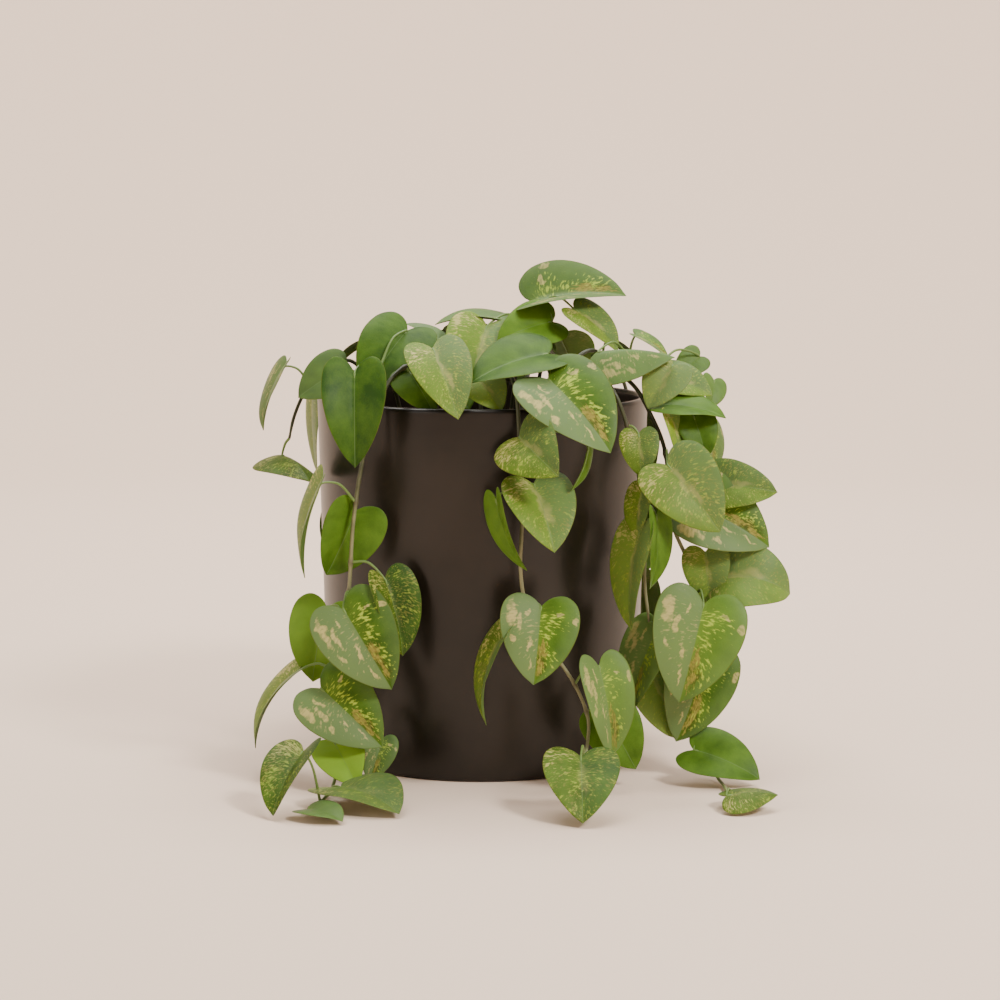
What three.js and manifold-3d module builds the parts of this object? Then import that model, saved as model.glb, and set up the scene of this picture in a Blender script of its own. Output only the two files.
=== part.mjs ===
// Potted pothos: a round glazed pot, its soil, and the leafy stems that climb over the rim and trail.
// Millimetres, +Z up. The origin is the centre of the pot's underside, and the front of the plant is -Y.
import * as THREE from "three";
import { mergeVertices } from "three/addons/utils/BufferGeometryUtils.js";
import Module from "manifold-3d";

const wasm = await Module();
wasm.setup();

// ---------------------------------------------------------------- driving dimensions

const POT_HEIGHT = 304;
const POT_RIM_RADIUS = 140;
const POT_BASE_RADIUS = 132.5;
const POT_WALL = 7;
const POT_FLOOR = 10;
const POT_FOOT_BEVEL = 3;
const POT_LIP_PARTS = 5;
const ROUND_SIDES = 40;

const SOIL_TOP = 270;
const SOIL_CROWN = 6;
const SOIL_LEVEL_SHARE = 0.6;
const SEAT_GAP = 0.3;

const STEM_RADIUS = 2.1;
const STEM_SIDES = 5;
const STEM_STEP = 24;
const ROOT_DEPTH = 24;
const ROOT_BEND_DEPTH = 8;
const ROOT_RISE = 12;
const HOLE_RADIUS = 3.6;
const HOLE_SIDES = 6;

const PETIOLE_RADIUS = 1.35;
const PETIOLE_SIDES = 3;
const PETIOLE_STEPS = 2;
const FIRST_JOINT = 2;
const PETIOLE_LIFT = 0.22;
const PETIOLE_SUNK = 3;

const BLADE_THICKNESS = 0.9;
const BLADE_ARCH = 0.55;
const BLADE_FOLD = 18;
const BLADE_SAG = 0.35;
const BLADE_CREASE = 0.02;

// One half of the heart outline in leaf lengths, from the notch at the petiole round to the tip.
const HALF_OUTLINE = [[0.11, -0.11], [0.29, -0.14], [0.44, -0.02], [0.48, 0.24], [0.38, 0.57], [0.17, 0.86]];
const NOTCH = [0, 0];
const TIP = [0, 1];
const MIDRIB = [[0, 0.2], [0, 0.58]];

// Corners closer than this are one corner.
const MERGE_DISTANCE = 1e-4;

// ---------------------------------------------------------------- the stems and their leaves

// A leaf: where its petiole meets the blade, its tip, and the way its upper face looks, as a turn
// from the front towards the right and a rise above level, in degrees.
function leaf(base, tip, turn, rise, shape = {}) {
  return { base, tip, turn, rise, ...shape };
}

const VINES = {
  left_trail: {
    stem: [
      [-38, -56], [-43, -76, 319], [-57, -100, 336], [-71, -113, 328], [-85, -122, 302], [-95, -127, 262],
      [-102, -134, 216], [-106, -134, 160], [-112, -130, 100], [-116, -130, 45], [-117, -138, 14],
      [-119, -156, 3.4], [-122, -184, 2.7], [-126, -208, 2.7], [-131, -228, 2.7],
    ],
    leaves: [
      leaf([-127, -146, 246], [-141, -140, 169], -80, 10, { wide: 0.8 }),
      leaf([-101, -122, 221], [-125, -124, 169], 25, 8, { fold: 38, arch: 0.35, wide: 1.2 }),
      leaf([-77, -140, 168], [-63, -146, 107], 35, 15, { fold: 32, wide: 0.85 }),
      leaf([-109, -158, 147], [-71, -166, 84], 0, 15, { wide: 0.95 }),
      leaf([-128, -152, 82], [-79, -164, 37], 5, 20),
      leaf([-80, -138, 38], [-91, -150, 5], 10, 10, { wide: 0.85 }),
      leaf([-118, -150, 38], [-98, -178, 8], -10, 40),
      leaf([-110, -190, 11], [-62, -244, 4], 20, 78),
      leaf([-132, -238, 6], [-104, -262, 3], 0, 82),
      leaf([-126, -104, 138], [-138, -108, 78], -20, 10),
      leaf([-150, -112, 88], [-185, -114, 24], -82, 20, { wide: 0.8, arch: 0.9 }),
      leaf([-138, -208, 44], [-158, -250, 4], -42, 40, { fold: 32, wide: 0.9 }),
      leaf([-58, -106, 331], [-38, -121, 299], 8, 25, { wide: 1.05 }),
    ],
  },
  left_arch: {
    stem: [
      [-88, 6], [-98, 0, 318], [-112, -14, 334], [-130, -30, 328], [-146, -42, 312], [-156, -48, 290],
      [-160, -52, 272],
    ],
    leaves: [
      leaf([-164, -40, 331], [-182, -46, 278], -75, 10),
      leaf([-113, -60, 331], [-151, -66, 307], -10, 25),
      leaf([-148, 44, 302], [-145, 46, 232], -74, 5, { fold: 8, arch: 0.2, wide: 0.85 }),
      leaf([-166, -52, 258], [-140, -102, 242], 52, 68, { fold: -18 }),
    ],
  },
  left_crown: {
    stem: [[-66, -54], [-72, -66, 314], [-84, -86, 334], [-94, -106, 334]],
    leaves: [
      leaf([-101, -122, 332], [-100, -142, 258], 0, 20, { fold: 30, wide: 0.8 }),
      leaf([-61, -60, 362], [-95, -88, 312], -10, 35),
    ],
  },
  centre_crown: {
    stem: [[-22, -52], [-26, -66, 314], [-32, -88, 340]],
    leaves: [
      leaf([-39, -108, 350], [-18, -149, 297], 5, 40, { wide: 0.8 }),
      leaf([-26, -78, 322], [-10, -104, 300], 10, 40),
      leaf([-34, -42, 352], [-64, -34, 366], -20, 75, { wide: 0.7 }),
    ],
  },
  top_back: {
    stem: [[24, 10], [28, 4, 320], [36, -8, 362], [48, -20, 382]],
    leaves: [
      leaf([4, -38, 364], [-12, -74, 310], 0, 32),
      leaf([43, -21, 384], [120, -30, 389], -5, 60, { fold: 30, sag: 0.2 }),
      leaf([77, -46, 378], [112, -54, 344], 50, 32),
      leaf([58, -40, 368], [12, -56, 352], 0, 40),
      leaf([20, -6, 367], [-40, -12, 364], 0, 85),
    ],
  },
  middle_trail: {
    stem: [
      [16, -66], [20, -88, 318], [24, -118, 328], [28, -140, 314], [30, -148, 285], [32, -150, 250],
      [32, -151, 210], [31, -151, 182], [34, -151, 155], [45, -150, 128], [62, -150, 104], [76, -151, 82],
      [85, -155, 58], [84, -168, 40], [81, -186, 34],
    ],
    leaves: [
      leaf([41, -158, 247], [57, -194, 198], 15, 35),
      leaf([12, -166, 236], [36, -170, 180], -72, 10, { wide: 0.8 }),
      leaf([47, -168, 151], [41, -186, 92], 3, 20, { wide: 1.1 }),
      leaf([19, -162, 129], [4, -162, 54], -80, 10, { wide: 0.8, arch: 0.9 }),
      leaf([93, -162, 102], [103, -170, 30], 30, 15, { fold: 26, wide: 0.74 }),
      leaf([98, -140, 60], [124, -148, 15], 5, 15),
      leaf([77, -226, 44], [77, -272, 4], 0, 44, { wide: 1.05 }),
      leaf([-4, -106, 327], [16, -123, 301], 5, 35, { wide: 1.1 }),
    ],
  },
  middle_crown: {
    stem: [[42, -62], [46, -80, 320], [50, -104, 338], [56, -128, 328], [60, -146, 306], [60, -152, 288]],
    leaves: [
      leaf([53, -108, 346], [-9, -130, 324], -15, 60),
      leaf([53, -138, 328], [101, -172, 273], 15, 30),
      leaf([30, -156, 284], [60, -200, 258], -41, 32),
      leaf([84, -160, 276], [70, -168, 243], 80, 10, { wide: 0.7 }),
    ],
  },
  right_front: {
    stem: [
      [72, -50], [80, -66, 316], [92, -90, 330], [106, -106, 316], [118, -109, 285], [128, -110, 240],
      [132, -112, 200], [132, -112, 160], [136, -112, 128],
    ],
    leaves: [
      leaf([126, -112, 282], [128, -120, 248], 0, 15),
      leaf([130, -121, 239], [125, -129, 199], -50, 10, { wide: 0.85 }),
      leaf([139, -136, 219], [134, -140, 160], 60, 10, { wide: 0.75 }),
      leaf([127, -132, 206], [120, -140, 127], -62, 10, { wide: 0.75 }),
      leaf([142, -120, 123], [120, -126, 57], -50, 10, { wide: 0.85 }),
      leaf([139, -110, 85], [157, -116, 33], 20, 10),
    ],
  },
  right_trail: {
    stem: [
      [66, -16], [78, -32, 320], [100, -62, 333], [124, -82, 318], [138, -88, 294], [148, -90, 270],
      [153, -91, 236], [156, -92, 205], [168, -94, 176], [177, -96, 142], [178, -98, 100], [178, -100, 60],
      [184, -110, 24], [190, -128, 6], [194, -150, 2.8], [196, -192, 2.8],
    ],
    leaves: [
      leaf([149, -124, 258], [190, -140, 206], 5, 15),
      leaf([187, -84, 237], [241, -92, 232], 10, 30, { wide: 0.9 }),
      leaf([169, -92, 224], [234, -100, 188], 15, 25),
      leaf([182, -100, 184], [186, -106, 142], -10, 10),
      leaf([189, -96, 160], [251, -104, 150], 5, 36, { arch: 2 }),
      leaf([178, -134, 147], [158, -146, 69], 3, 15),
      leaf([182, -112, 102], [158, -120, 31], 15, 15, { wide: 0.9 }),
      leaf([172, -128, 26], [224, -146, 6], 5, 55),
      leaf([190, -221, 12], [230, -218, 12], -10, 74, { fold: -10 }),
    ],
  },
  right_high: {
    stem: [[84, -8], [94, -20, 320], [108, -40, 342], [126, -56, 338], [140, -62, 326]],
    leaves: [
      leaf([94, -88, 346], [156, -94, 342], 10, 70, { fold: -30 }),
      leaf([127, -54, 358], [154, -58, 338], 60, 40, { wide: 0.7 }),
      leaf([155, -88, 335], [134, -100, 301], -10, 15),
      leaf([182, -24, 338], [160, -32, 322], 10, 30),
    ],
  },
  right_out: {
    stem: [[92, 22], [104, 12, 318], [122, -8, 330], [142, -28, 324], [156, -42, 306], [164, -54, 280]],
    leaves: [
      leaf([148, -60, 324], [189, -70, 309], 10, 50),
      leaf([192, -46, 320], [188, -60, 298], 30, 20),
      leaf([146, -86, 303], [198, -94, 293], 5, 70),
      leaf([172, -88, 294], [182, -98, 260], 10, 10),
      leaf([186, -58, 284], [188, -62, 240], 60, 10),
      leaf([152, -96, 297], [158, -102, 262], 50, 10, { wide: 0.8 }),
    ],
  },
  left_side: {
    stem: [
      [-56, 34], [-64, 42, 318], [-84, 56, 336], [-106, 72, 326], [-115, 91, 292], [-118, 95, 245],
      [-120, 98, 200], [-120, 98, 165],
    ],
    leaves: [
      leaf([-96, 60, 346], [-128, 64, 322], -110, 50),
      leaf([-125, 84, 292], [-131, 88, 236], -119, 12, { wide: 0.85 }),
      leaf([-117, 115, 250], [-121, 122, 192], -138, 12),
      leaf([-126, 95, 196], [-129, 99, 138], -127, 12, { wide: 0.85 }),
      leaf([-115, 115, 160], [-117, 121, 100], -143, 12),
    ],
  },
  back_left: {
    stem: [
      [-40, 52], [-46, 64, 318], [-56, 92, 336], [-70, 118, 322], [-78, 132, 290], [-82, 138, 240],
      [-84, 140, 190], [-84, 141, 140], [-82, 141, 110],
    ],
    leaves: [
      leaf([-68, 104, 340], [-88, 138, 294], -155, 35),
      leaf([-98, 150, 258], [-104, 156, 196], -150, 15),
      leaf([-72, 154, 228], [-66, 160, 166], -170, 15),
      leaf([-98, 152, 176], [-102, 158, 114], -150, 15),
      leaf([-64, 158, 138], [-62, 164, 76], -175, 12),
      leaf([-92, 156, 104], [-98, 164, 46], -160, 12),
    ],
  },
  back_middle: {
    stem: [
      [-2, 66], [-2, 80, 322], [0, 104, 340], [0, 128, 326], [0, 146, 290], [-2, 150, 240], [-4, 150, 210],
    ],
    leaves: [
      leaf([-20, 58, 350], [-62, 70, 340], -140, 70),
      leaf([26, 40, 350], [64, 58, 338], 140, 70),
      leaf([-14, 112, 352], [-22, 148, 310], -170, 40, { wide: 0.85 }),
      leaf([20, 122, 342], [26, 156, 290], 170, 35, { wide: 0.85 }),
      leaf([-22, 160, 272], [-28, 166, 212], -175, 15),
      leaf([14, 160, 250], [18, 166, 188], 172, 15),
      leaf([-8, 162, 204], [-6, 168, 140], 180, 12),
    ],
  },
  back_right: {
    stem: [
      [34, 56], [40, 68, 318], [52, 94, 338], [66, 120, 326], [76, 134, 292], [80, 140, 240], [84, 142, 190],
      [84, 142, 140], [86, 142, 90], [88, 143, 66],
    ],
    leaves: [
      leaf([68, 104, 346], [84, 140, 302], 160, 40),
      leaf([94, 146, 282], [112, 150, 228], 150, 15),
      leaf([75, 154, 246], [69, 160, 186], 175, 15),
      leaf([102, 152, 200], [110, 158, 140], 150, 15),
      leaf([66, 160, 150], [60, 166, 88], 175, 12),
      leaf([106, 154, 112], [112, 160, 52], 155, 12),
      leaf([84, 160, 64], [86, 172, 8], 170, 20),
    ],
  },
  right_side: {
    stem: [
      [60, 30], [70, 38, 318], [92, 50, 338], [114, 64, 326], [128, 74, 294], [132, 78, 245], [134, 80, 200],
      [134, 80, 150],
    ],
    leaves: [
      leaf([108, 46, 346], [138, 46, 322], 105, 50),
      leaf([136, 62, 282], [144, 64, 228], 110, 12),
      leaf([130, 98, 262], [132, 104, 204], 140, 12),
      leaf([140, 72, 212], [146, 74, 156], 112, 12),
      leaf([132, 98, 180], [132, 104, 122], 140, 12),
      leaf([138, 82, 136], [140, 86, 80], 120, 12),
    ],
  },
};

// ---------------------------------------------------------------- solids

// A closed three.js geometry as a solid, with its shared corners merged.
function solidOf(geometry) {
  const bare = geometry.clone();
  bare.deleteAttribute("normal");
  bare.deleteAttribute("uv");
  const merged = mergeVertices(bare, MERGE_DISTANCE);
  return new wasm.Manifold(new wasm.Mesh({
    numProp: 3,
    vertProperties: new Float32Array(merged.attributes.position.array),
    triVerts: new Uint32Array(merged.index.array),
  }));
}

// The three.js geometry of a solid.
function geometryOf(solid) {
  const mesh = solid.getMesh();
  const geometry = new THREE.BufferGeometry();
  geometry.setAttribute("position", new THREE.BufferAttribute(mesh.vertProperties, 3));
  geometry.setIndex(new THREE.BufferAttribute(mesh.triVerts, 1));
  geometry.computeVertexNormals();
  return geometry;
}

// A round solid turned about Z from a profile of [radius, height] pairs.
function turned(profile) {
  const points = profile.map(([radius, height]) => new THREE.Vector2(radius, height));
  const geometry = new THREE.LatheGeometry(points, ROUND_SIDES);
  geometry.rotateX(Math.PI / 2);
  return geometry;
}

// A tube of few sides along a curve.
function tube(path, radius, sides, steps) {
  const section = new THREE.Shape();
  for (let side = 0; side < sides; side += 1) {
    const angle = (2 * Math.PI * side) / sides;
    const corner = [radius * Math.cos(angle), radius * Math.sin(angle)];
    if (side === 0) {
      section.moveTo(...corner);
    } else {
      section.lineTo(...corner);
    }
  }
  return new THREE.ExtrudeGeometry(section, { steps, extrudePath: path, bevelEnabled: false });
}

// ---------------------------------------------------------------- pot and soil

// The pot's outside radius at a height.
function potRadius(height) {
  return POT_BASE_RADIUS + ((POT_RIM_RADIUS - POT_BASE_RADIUS) * height) / POT_HEIGHT;
}

// The pot: a slightly flared cylinder with a flat underside and a lip rounded by half a circle.
function potGeometry() {
  const profile = [
    [0, 0],
    [POT_BASE_RADIUS - POT_FOOT_BEVEL, 0],
    [potRadius(POT_FOOT_BEVEL), POT_FOOT_BEVEL],
  ];
  const lipRadius = POT_WALL / 2;
  const lipHeight = POT_HEIGHT - lipRadius;
  const lipMiddle = POT_RIM_RADIUS - lipRadius;
  for (let part = 0; part <= POT_LIP_PARTS; part += 1) {
    const angle = (Math.PI * part) / POT_LIP_PARTS;
    profile.push([lipMiddle + lipRadius * Math.cos(angle), lipHeight + lipRadius * Math.sin(angle)]);
  }
  profile.push([potRadius(POT_FLOOR) - POT_WALL, POT_FLOOR], [0, POT_FLOOR]);
  return turned(profile);
}

// The soil fills the pot to below the rim, crowned a little and level in the middle, with a plain hole
// for each stem.
function soilGeometry(stems) {
  const inside = (height) => potRadius(height) - POT_WALL - SEAT_GAP;
  const bottom = POT_FLOOR + SEAT_GAP;
  const profile = [
    [0, bottom],
    [inside(bottom) - SEAT_GAP, bottom],
    [inside(SOIL_TOP) - SEAT_GAP, SOIL_TOP],
    [inside(SOIL_TOP) * SOIL_LEVEL_SHARE, SOIL_TOP + SOIL_CROWN],
    [0, SOIL_TOP + SOIL_CROWN],
  ];
  let soil = solidOf(turned(profile));
  const depth = ROOT_DEPTH + ROOT_RISE;
  for (const [x, y] of stems) {
    const hole = new THREE.CylinderGeometry(HOLE_RADIUS, HOLE_RADIUS, depth, HOLE_SIDES);
    hole.rotateX(Math.PI / 2);
    hole.translate(x, y, SOIL_TOP - ROOT_DEPTH - SEAT_GAP + depth / 2);
    soil = soil.subtract(solidOf(hole));
  }
  return geometryOf(soil);
}

// ---------------------------------------------------------------- leaves

// The frame of a blade: its chord, its upper face and its side, and its length along the arch.
function bladeFrame({ base, tip, turn, rise, arch = BLADE_ARCH }) {
  const start = new THREE.Vector3(...base);
  const chord = new THREE.Vector3(...tip).sub(start);
  const span = chord.length();
  chord.normalize();
  const heading = THREE.MathUtils.degToRad(turn);
  const risen = THREE.MathUtils.degToRad(rise);
  const level = Math.cos(risen);
  const face = new THREE.Vector3(Math.sin(heading) * level, -Math.cos(heading) * level, Math.sin(risen));
  face.addScaledVector(chord, -face.dot(chord)).normalize();
  const side = new THREE.Vector3().crossVectors(chord, face);
  return { start, chord, face, side, length: (span * (arch / 2)) / Math.sin(arch / 2) };
}

// A point of a blade: x to the side and y along the midrib in leaf lengths, lift in mm above the middle.
// The halves rise from the midrib by the fold, droop again by the sag, and the midrib bends on an arc.
function bladePoint(spec, frame, [x, y], lift) {
  const { arch = BLADE_ARCH, fold = BLADE_FOLD, sag = BLADE_SAG, wide = 1 } = spec;
  const slope = THREE.MathUtils.degToRad(fold);
  const reach = x * wide * frame.length;
  const crease = BLADE_CREASE * frame.length;
  const raised = Math.sin(slope) * (Math.hypot(reach, crease) - crease);
  const height = raised - (sag * reach * reach) / frame.length + lift;
  const bend = frame.length / arch + height;
  const angle = arch * (y - 0.5);
  const along = bend * Math.sin(angle) + (frame.length / arch) * Math.sin(arch / 2);
  const above = bend * Math.cos(angle) - (frame.length / arch) * Math.cos(arch / 2);
  return frame.start.clone()
    .addScaledVector(frame.side, Math.cos(slope) * reach)
    .addScaledVector(frame.chord, along)
    .addScaledVector(frame.face, above);
}

// Triangles between the midrib and the edge of one half, as corner numbers into the ring of points:
// notch, six on the edge, tip, two on the midrib.
const HALF_TRIANGLES = [
  [0, 1, 8], [1, 2, 8], [2, 3, 8], [3, 4, 8], [4, 9, 8], [4, 5, 9], [5, 6, 9], [6, 7, 9],
];

// The closed blade: both faces split alike, joined by a wall round the edge.
function bladeGeometry(spec) {
  const frame = bladeFrame(spec);
  const right = HALF_OUTLINE;
  const left = HALF_OUTLINE.map(([x, y]) => [-x, y]).reverse();
  const outline = [NOTCH, ...right, TIP, ...left];
  const flat = [...outline, ...MIDRIB];
  const positions = [];
  for (const lift of [BLADE_THICKNESS / 2, -BLADE_THICKNESS / 2]) {
    for (const place of flat) {
      positions.push(...bladePoint(spec, frame, place, lift).toArray());
    }
  }
  const rib = outline.length;
  const tip = 1 + right.length;
  const rightRing = [0, ...right.map((_, i) => 1 + i), tip, rib, rib + 1];
  const leftRing = [0, ...right.map((_, i) => outline.length - 1 - i), tip, rib, rib + 1];
  const below = flat.length;
  const index = [];
  for (const [a, b, c] of HALF_TRIANGLES) {
    index.push(rightRing[a], rightRing[b], rightRing[c]);
    index.push(below + rightRing[a], below + rightRing[c], below + rightRing[b]);
    index.push(leftRing[a], leftRing[c], leftRing[b]);
    index.push(below + leftRing[a], below + leftRing[b], below + leftRing[c]);
  }
  outline.forEach((_, here) => {
    const next = (here + 1) % outline.length;
    index.push(here, below + here, below + next, here, below + next, next);
  });
  const geometry = new THREE.BufferGeometry();
  geometry.setAttribute("position", new THREE.Float32BufferAttribute(positions, 3));
  geometry.setIndex(index);
  return geometry;
}

// ---------------------------------------------------------------- stems

// A stem's centre line: straight down into its hole in the soil, then through its own points.
function stemCurve([[x, y], ...points]) {
  const root = [SOIL_TOP - ROOT_DEPTH, SOIL_TOP - ROOT_BEND_DEPTH, SOIL_TOP + ROOT_RISE];
  const line = [...root.map((height) => [x, y, height]), ...points];
  return new THREE.CatmullRomCurve3(line.map((point) => new THREE.Vector3(...point)), false, "centripetal");
}

// Petioles leave the stem at its joints: here the joint nearest to a leaf's base, clear of the soil.
function attachment(joints, base) {
  const distances = joints.map((joint) => joint.distanceTo(base));
  const nearest = distances.indexOf(Math.min(...distances));
  return joints[Math.max(nearest, FIRST_JOINT)];
}

// A petiole rises from the stem, arches and runs into the blade along its midrib.
function petioleGeometry(joints, spec) {
  const frame = bladeFrame(spec);
  const start = attachment(joints, frame.start);
  const middle = start.clone().add(frame.start).multiplyScalar(0.5);
  middle.z += PETIOLE_LIFT * start.distanceTo(frame.start);
  const end = bladePoint(spec, frame, [0, PETIOLE_SUNK / frame.length], 0);
  const path = new THREE.CatmullRomCurve3([start, middle, frame.start, end], false, "centripetal");
  return tube(path, PETIOLE_RADIUS, PETIOLE_SIDES, PETIOLE_STEPS);
}

// The outer body of a solid, with any pocket that joining has sealed filled in.
function filled(solid) {
  return solid.decompose().reduce((whole, body) => (body.volume() > whole.volume() ? body : whole));
}

// One leafy stem as one body: the stem, its petioles and its blades.
function vineGeometry({ stem, leaves }) {
  const curve = stemCurve(stem);
  const steps = Math.round(curve.getLength() / STEM_STEP);
  const joints = curve.getSpacedPoints(steps);
  let vine = solidOf(tube(curve, STEM_RADIUS, STEM_SIDES, steps));
  for (const spec of leaves) {
    vine = vine.add(solidOf(petioleGeometry(joints, spec)));
    vine = vine.add(solidOf(bladeGeometry(spec)));
  }
  return geometryOf(filled(vine));
}

// ---------------------------------------------------------------- the plant

function named(name, geometry, colour, roughness) {
  const material = new THREE.MeshStandardMaterial({ color: colour, roughness, metalness: 0 });
  const mesh = new THREE.Mesh(geometry, material);
  mesh.name = name;
  return mesh;
}

const plant = new THREE.Group();
plant.add(named("pot", potGeometry(), 0x3a332c, 0.35));
plant.add(named("soil", soilGeometry(Object.values(VINES).map(({ stem }) => stem[0])), 0x2b2119, 0.95));
for (const [name, vine] of Object.entries(VINES)) {
  plant.add(named(`vine_${name}`, vineGeometry(vine), 0x5f8a35, 0.45));
}

export default plant;
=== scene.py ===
"""A trailing pothos in a dark glazed pot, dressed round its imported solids.

Everything is in metres, +Z up, with the origin at the centre of the pot's underside and the front of
the plant at -Y; only the rows of stems and leaves are in millimetres. The pot, the soil and each leafy
stem stand for the solid of the same name: the pot is a turned profile, the soil a bumpy disc with
crumbs, and a leafy stem is a tube with swollen joints, petioles that run on as midribs, and
heart-shaped blades.
"""

import logging
from dataclasses import dataclass, field
from enum import Enum
from functools import reduce
from itertools import combinations
from math import cos, pi, radians, sin
from typing import Sequence

import bpy
import numpy as np
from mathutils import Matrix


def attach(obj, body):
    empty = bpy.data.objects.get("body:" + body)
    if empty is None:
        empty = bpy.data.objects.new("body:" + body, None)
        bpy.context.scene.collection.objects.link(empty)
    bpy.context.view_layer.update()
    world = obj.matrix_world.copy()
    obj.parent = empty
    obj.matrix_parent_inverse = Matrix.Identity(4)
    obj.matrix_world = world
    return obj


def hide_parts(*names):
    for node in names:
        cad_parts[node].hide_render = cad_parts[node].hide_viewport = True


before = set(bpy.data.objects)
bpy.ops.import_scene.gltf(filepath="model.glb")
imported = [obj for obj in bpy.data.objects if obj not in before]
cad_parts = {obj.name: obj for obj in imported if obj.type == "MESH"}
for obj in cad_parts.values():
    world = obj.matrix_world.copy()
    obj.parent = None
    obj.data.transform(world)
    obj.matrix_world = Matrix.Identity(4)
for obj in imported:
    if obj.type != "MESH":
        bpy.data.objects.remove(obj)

LOG = logging.getLogger("pothos")

BODY = "root"
MILLIMETRES_PER_METRE = 1000

Array = np.ndarray
Point = tuple[float, float, float]
Colour = tuple[float, float, float]
Material = bpy.types.Material
Socket = bpy.types.NodeSocket


class LeafKind(Enum):
    """How a blade is coloured."""

    PLAIN = "plain green with faint side veins"
    FLECKED = "fine cream flecks all over, thickest on one lobe"
    # the grey-green half is partly the leaf's own colour and partly painted sheen
    HALVED = "one half grey-green with cream blotches, the other yellow-green with streaks"


PLAIN, FLECKED, HALVED = LeafKind


class Slot(Enum):
    """The record's material slots."""

    GLAZE = "pot_glaze"
    SOIL = "potting_soil"
    TISSUE = "leaves_and_stems"


# ---------------- meshes from arrays


def linked(name: str, data: bpy.types.ID) -> bpy.types.Object:
    """An object with some data, linked to the scene.

    Args:
        name: The object's name.
        data: Its mesh, light or camera.

    Returns:
        The object.
    """
    made = bpy.data.objects.new(name, data)
    bpy.context.scene.collection.objects.link(made)
    return made


@dataclass
class Shell:
    """A mesh in the making: its points, its triangles, and the values stored at each point."""

    points: Array
    triangles: Array
    layers: dict[str, Array] = field(default_factory=dict)

    def storing(self, **layers: float | Array) -> "Shell":
        """Stores values at each point.

        Args:
            layers: By name, one number for all the points or an array with a row for each.

        Returns:
            The shell itself.
        """
        for name, value in layers.items():
            values = np.asarray(value, float)
            self.layers[name] = values if values.ndim else np.full(len(self.points), values)
        return self

    @staticmethod
    def joined(shells: Sequence["Shell"]) -> "Shell":
        """Several shells as one.

        Args:
            shells: Shells that store the same layers.

        Returns:
            One shell, with the triangles' numbers moved on by the points before them.
        """
        starts = np.cumsum([0] + [len(shell.points) for shell in shells[:-1]])
        points = np.concatenate([shell.points for shell in shells])
        triangles = np.concatenate([shell.triangles + start for shell, start in zip(shells, starts)])
        layers = {
            name: np.concatenate([shell.layers[name] for shell in shells]) for name in shells[0].layers
        }
        return Shell(points, triangles, layers)

    def smooth_object(self, name: str, material: Material) -> bpy.types.Object:
        """The shell as a smooth object.

        Args:
            name: The object's name.
            material: Its finish.

        Returns:
            The object, at the origin, with its place in its mesh.
        """
        mesh = bpy.data.meshes.new(name)
        mesh.from_pydata(self.points.tolist(), [], self.triangles.tolist())
        for layer, values in self.layers.items():
            kind, item = ("FLOAT", "value") if values.ndim == 1 else ("FLOAT_VECTOR", "vector")
            stored = mesh.attributes.new(layer, kind, "POINT")
            stored.data.foreach_set(item, values.astype(np.float32).ravel())
        mesh.materials.append(material)
        mesh.shade_smooth()
        return linked(name, mesh)

    def piece(self, name: str, material: Material, slot: Slot, *nodes: str) -> None:
        """Makes the shell an object that rides on the part and stands for some of its solids.

        Args:
            name: The object's name.
            material: Its finish.
            slot: The record's slot that the finish belongs to. Not used.
            nodes: The solids that it stands for.
        """
        made = self.smooth_object(name, material)
        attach(made, BODY)
        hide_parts(*nodes)
        LOG.info("%s: %d points, %d triangles", name, len(self.points), len(self.triangles))


def grid_triangles(numbers: Array) -> Array:
    """Two triangles for each cell of a grid.

    Args:
        numbers: The point number at each row and column. Where a row or column shrinks to one point, it
            holds the same number all along.

    Returns:
        The triangles, turning from a row's next column to the next row. Those with two equal corners
        are dropped, so poles and shared edges close without a seam.
    """
    here, across = numbers[:-1, :-1], numbers[:-1, 1:]
    beyond, ahead = numbers[1:, 1:], numbers[1:, :-1]
    cells = np.stack([here, across, beyond, here, beyond, ahead], axis=-1).reshape(-1, 3)
    first, second, third = cells.T
    return cells[(first != second) & (second != third) & (third != first)]


def ring_numbers(rows: int, sides: int) -> Array:
    """The point numbers of rings, a row each, with each ring's first number again at its end."""
    numbers = np.arange(rows * sides).reshape(rows, sides)
    return np.hstack([numbers, numbers[:, :1]])


def capped(first: Array, rings: Array, last: Array) -> Shell:
    """A closed surface through rings of points, gathered to a point at both ends.

    Args:
        first: The place before the first ring.
        rings: The rings, each with as many places.
        last: The place after the last ring.

    Returns:
        The surface.
    """
    rows, sides, _ = rings.shape
    points = np.vstack([first, rings.reshape(-1, 3), last])
    ends = (0, len(points) - 1)
    numbers = np.pad(1 + ring_numbers(rows, sides), ((1, 1), (0, 0)), constant_values=(ends, (0, 0)))
    return Shell(points, grid_triangles(numbers))


def unit(vectors: Array) -> Array:
    """Each vector at length one."""
    return vectors / np.linalg.norm(vectors, axis=-1, keepdims=True)


def metres(places: Sequence) -> Array:
    """Places given in millimetres."""
    return np.array(places, float) / MILLIMETRES_PER_METRE


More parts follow.
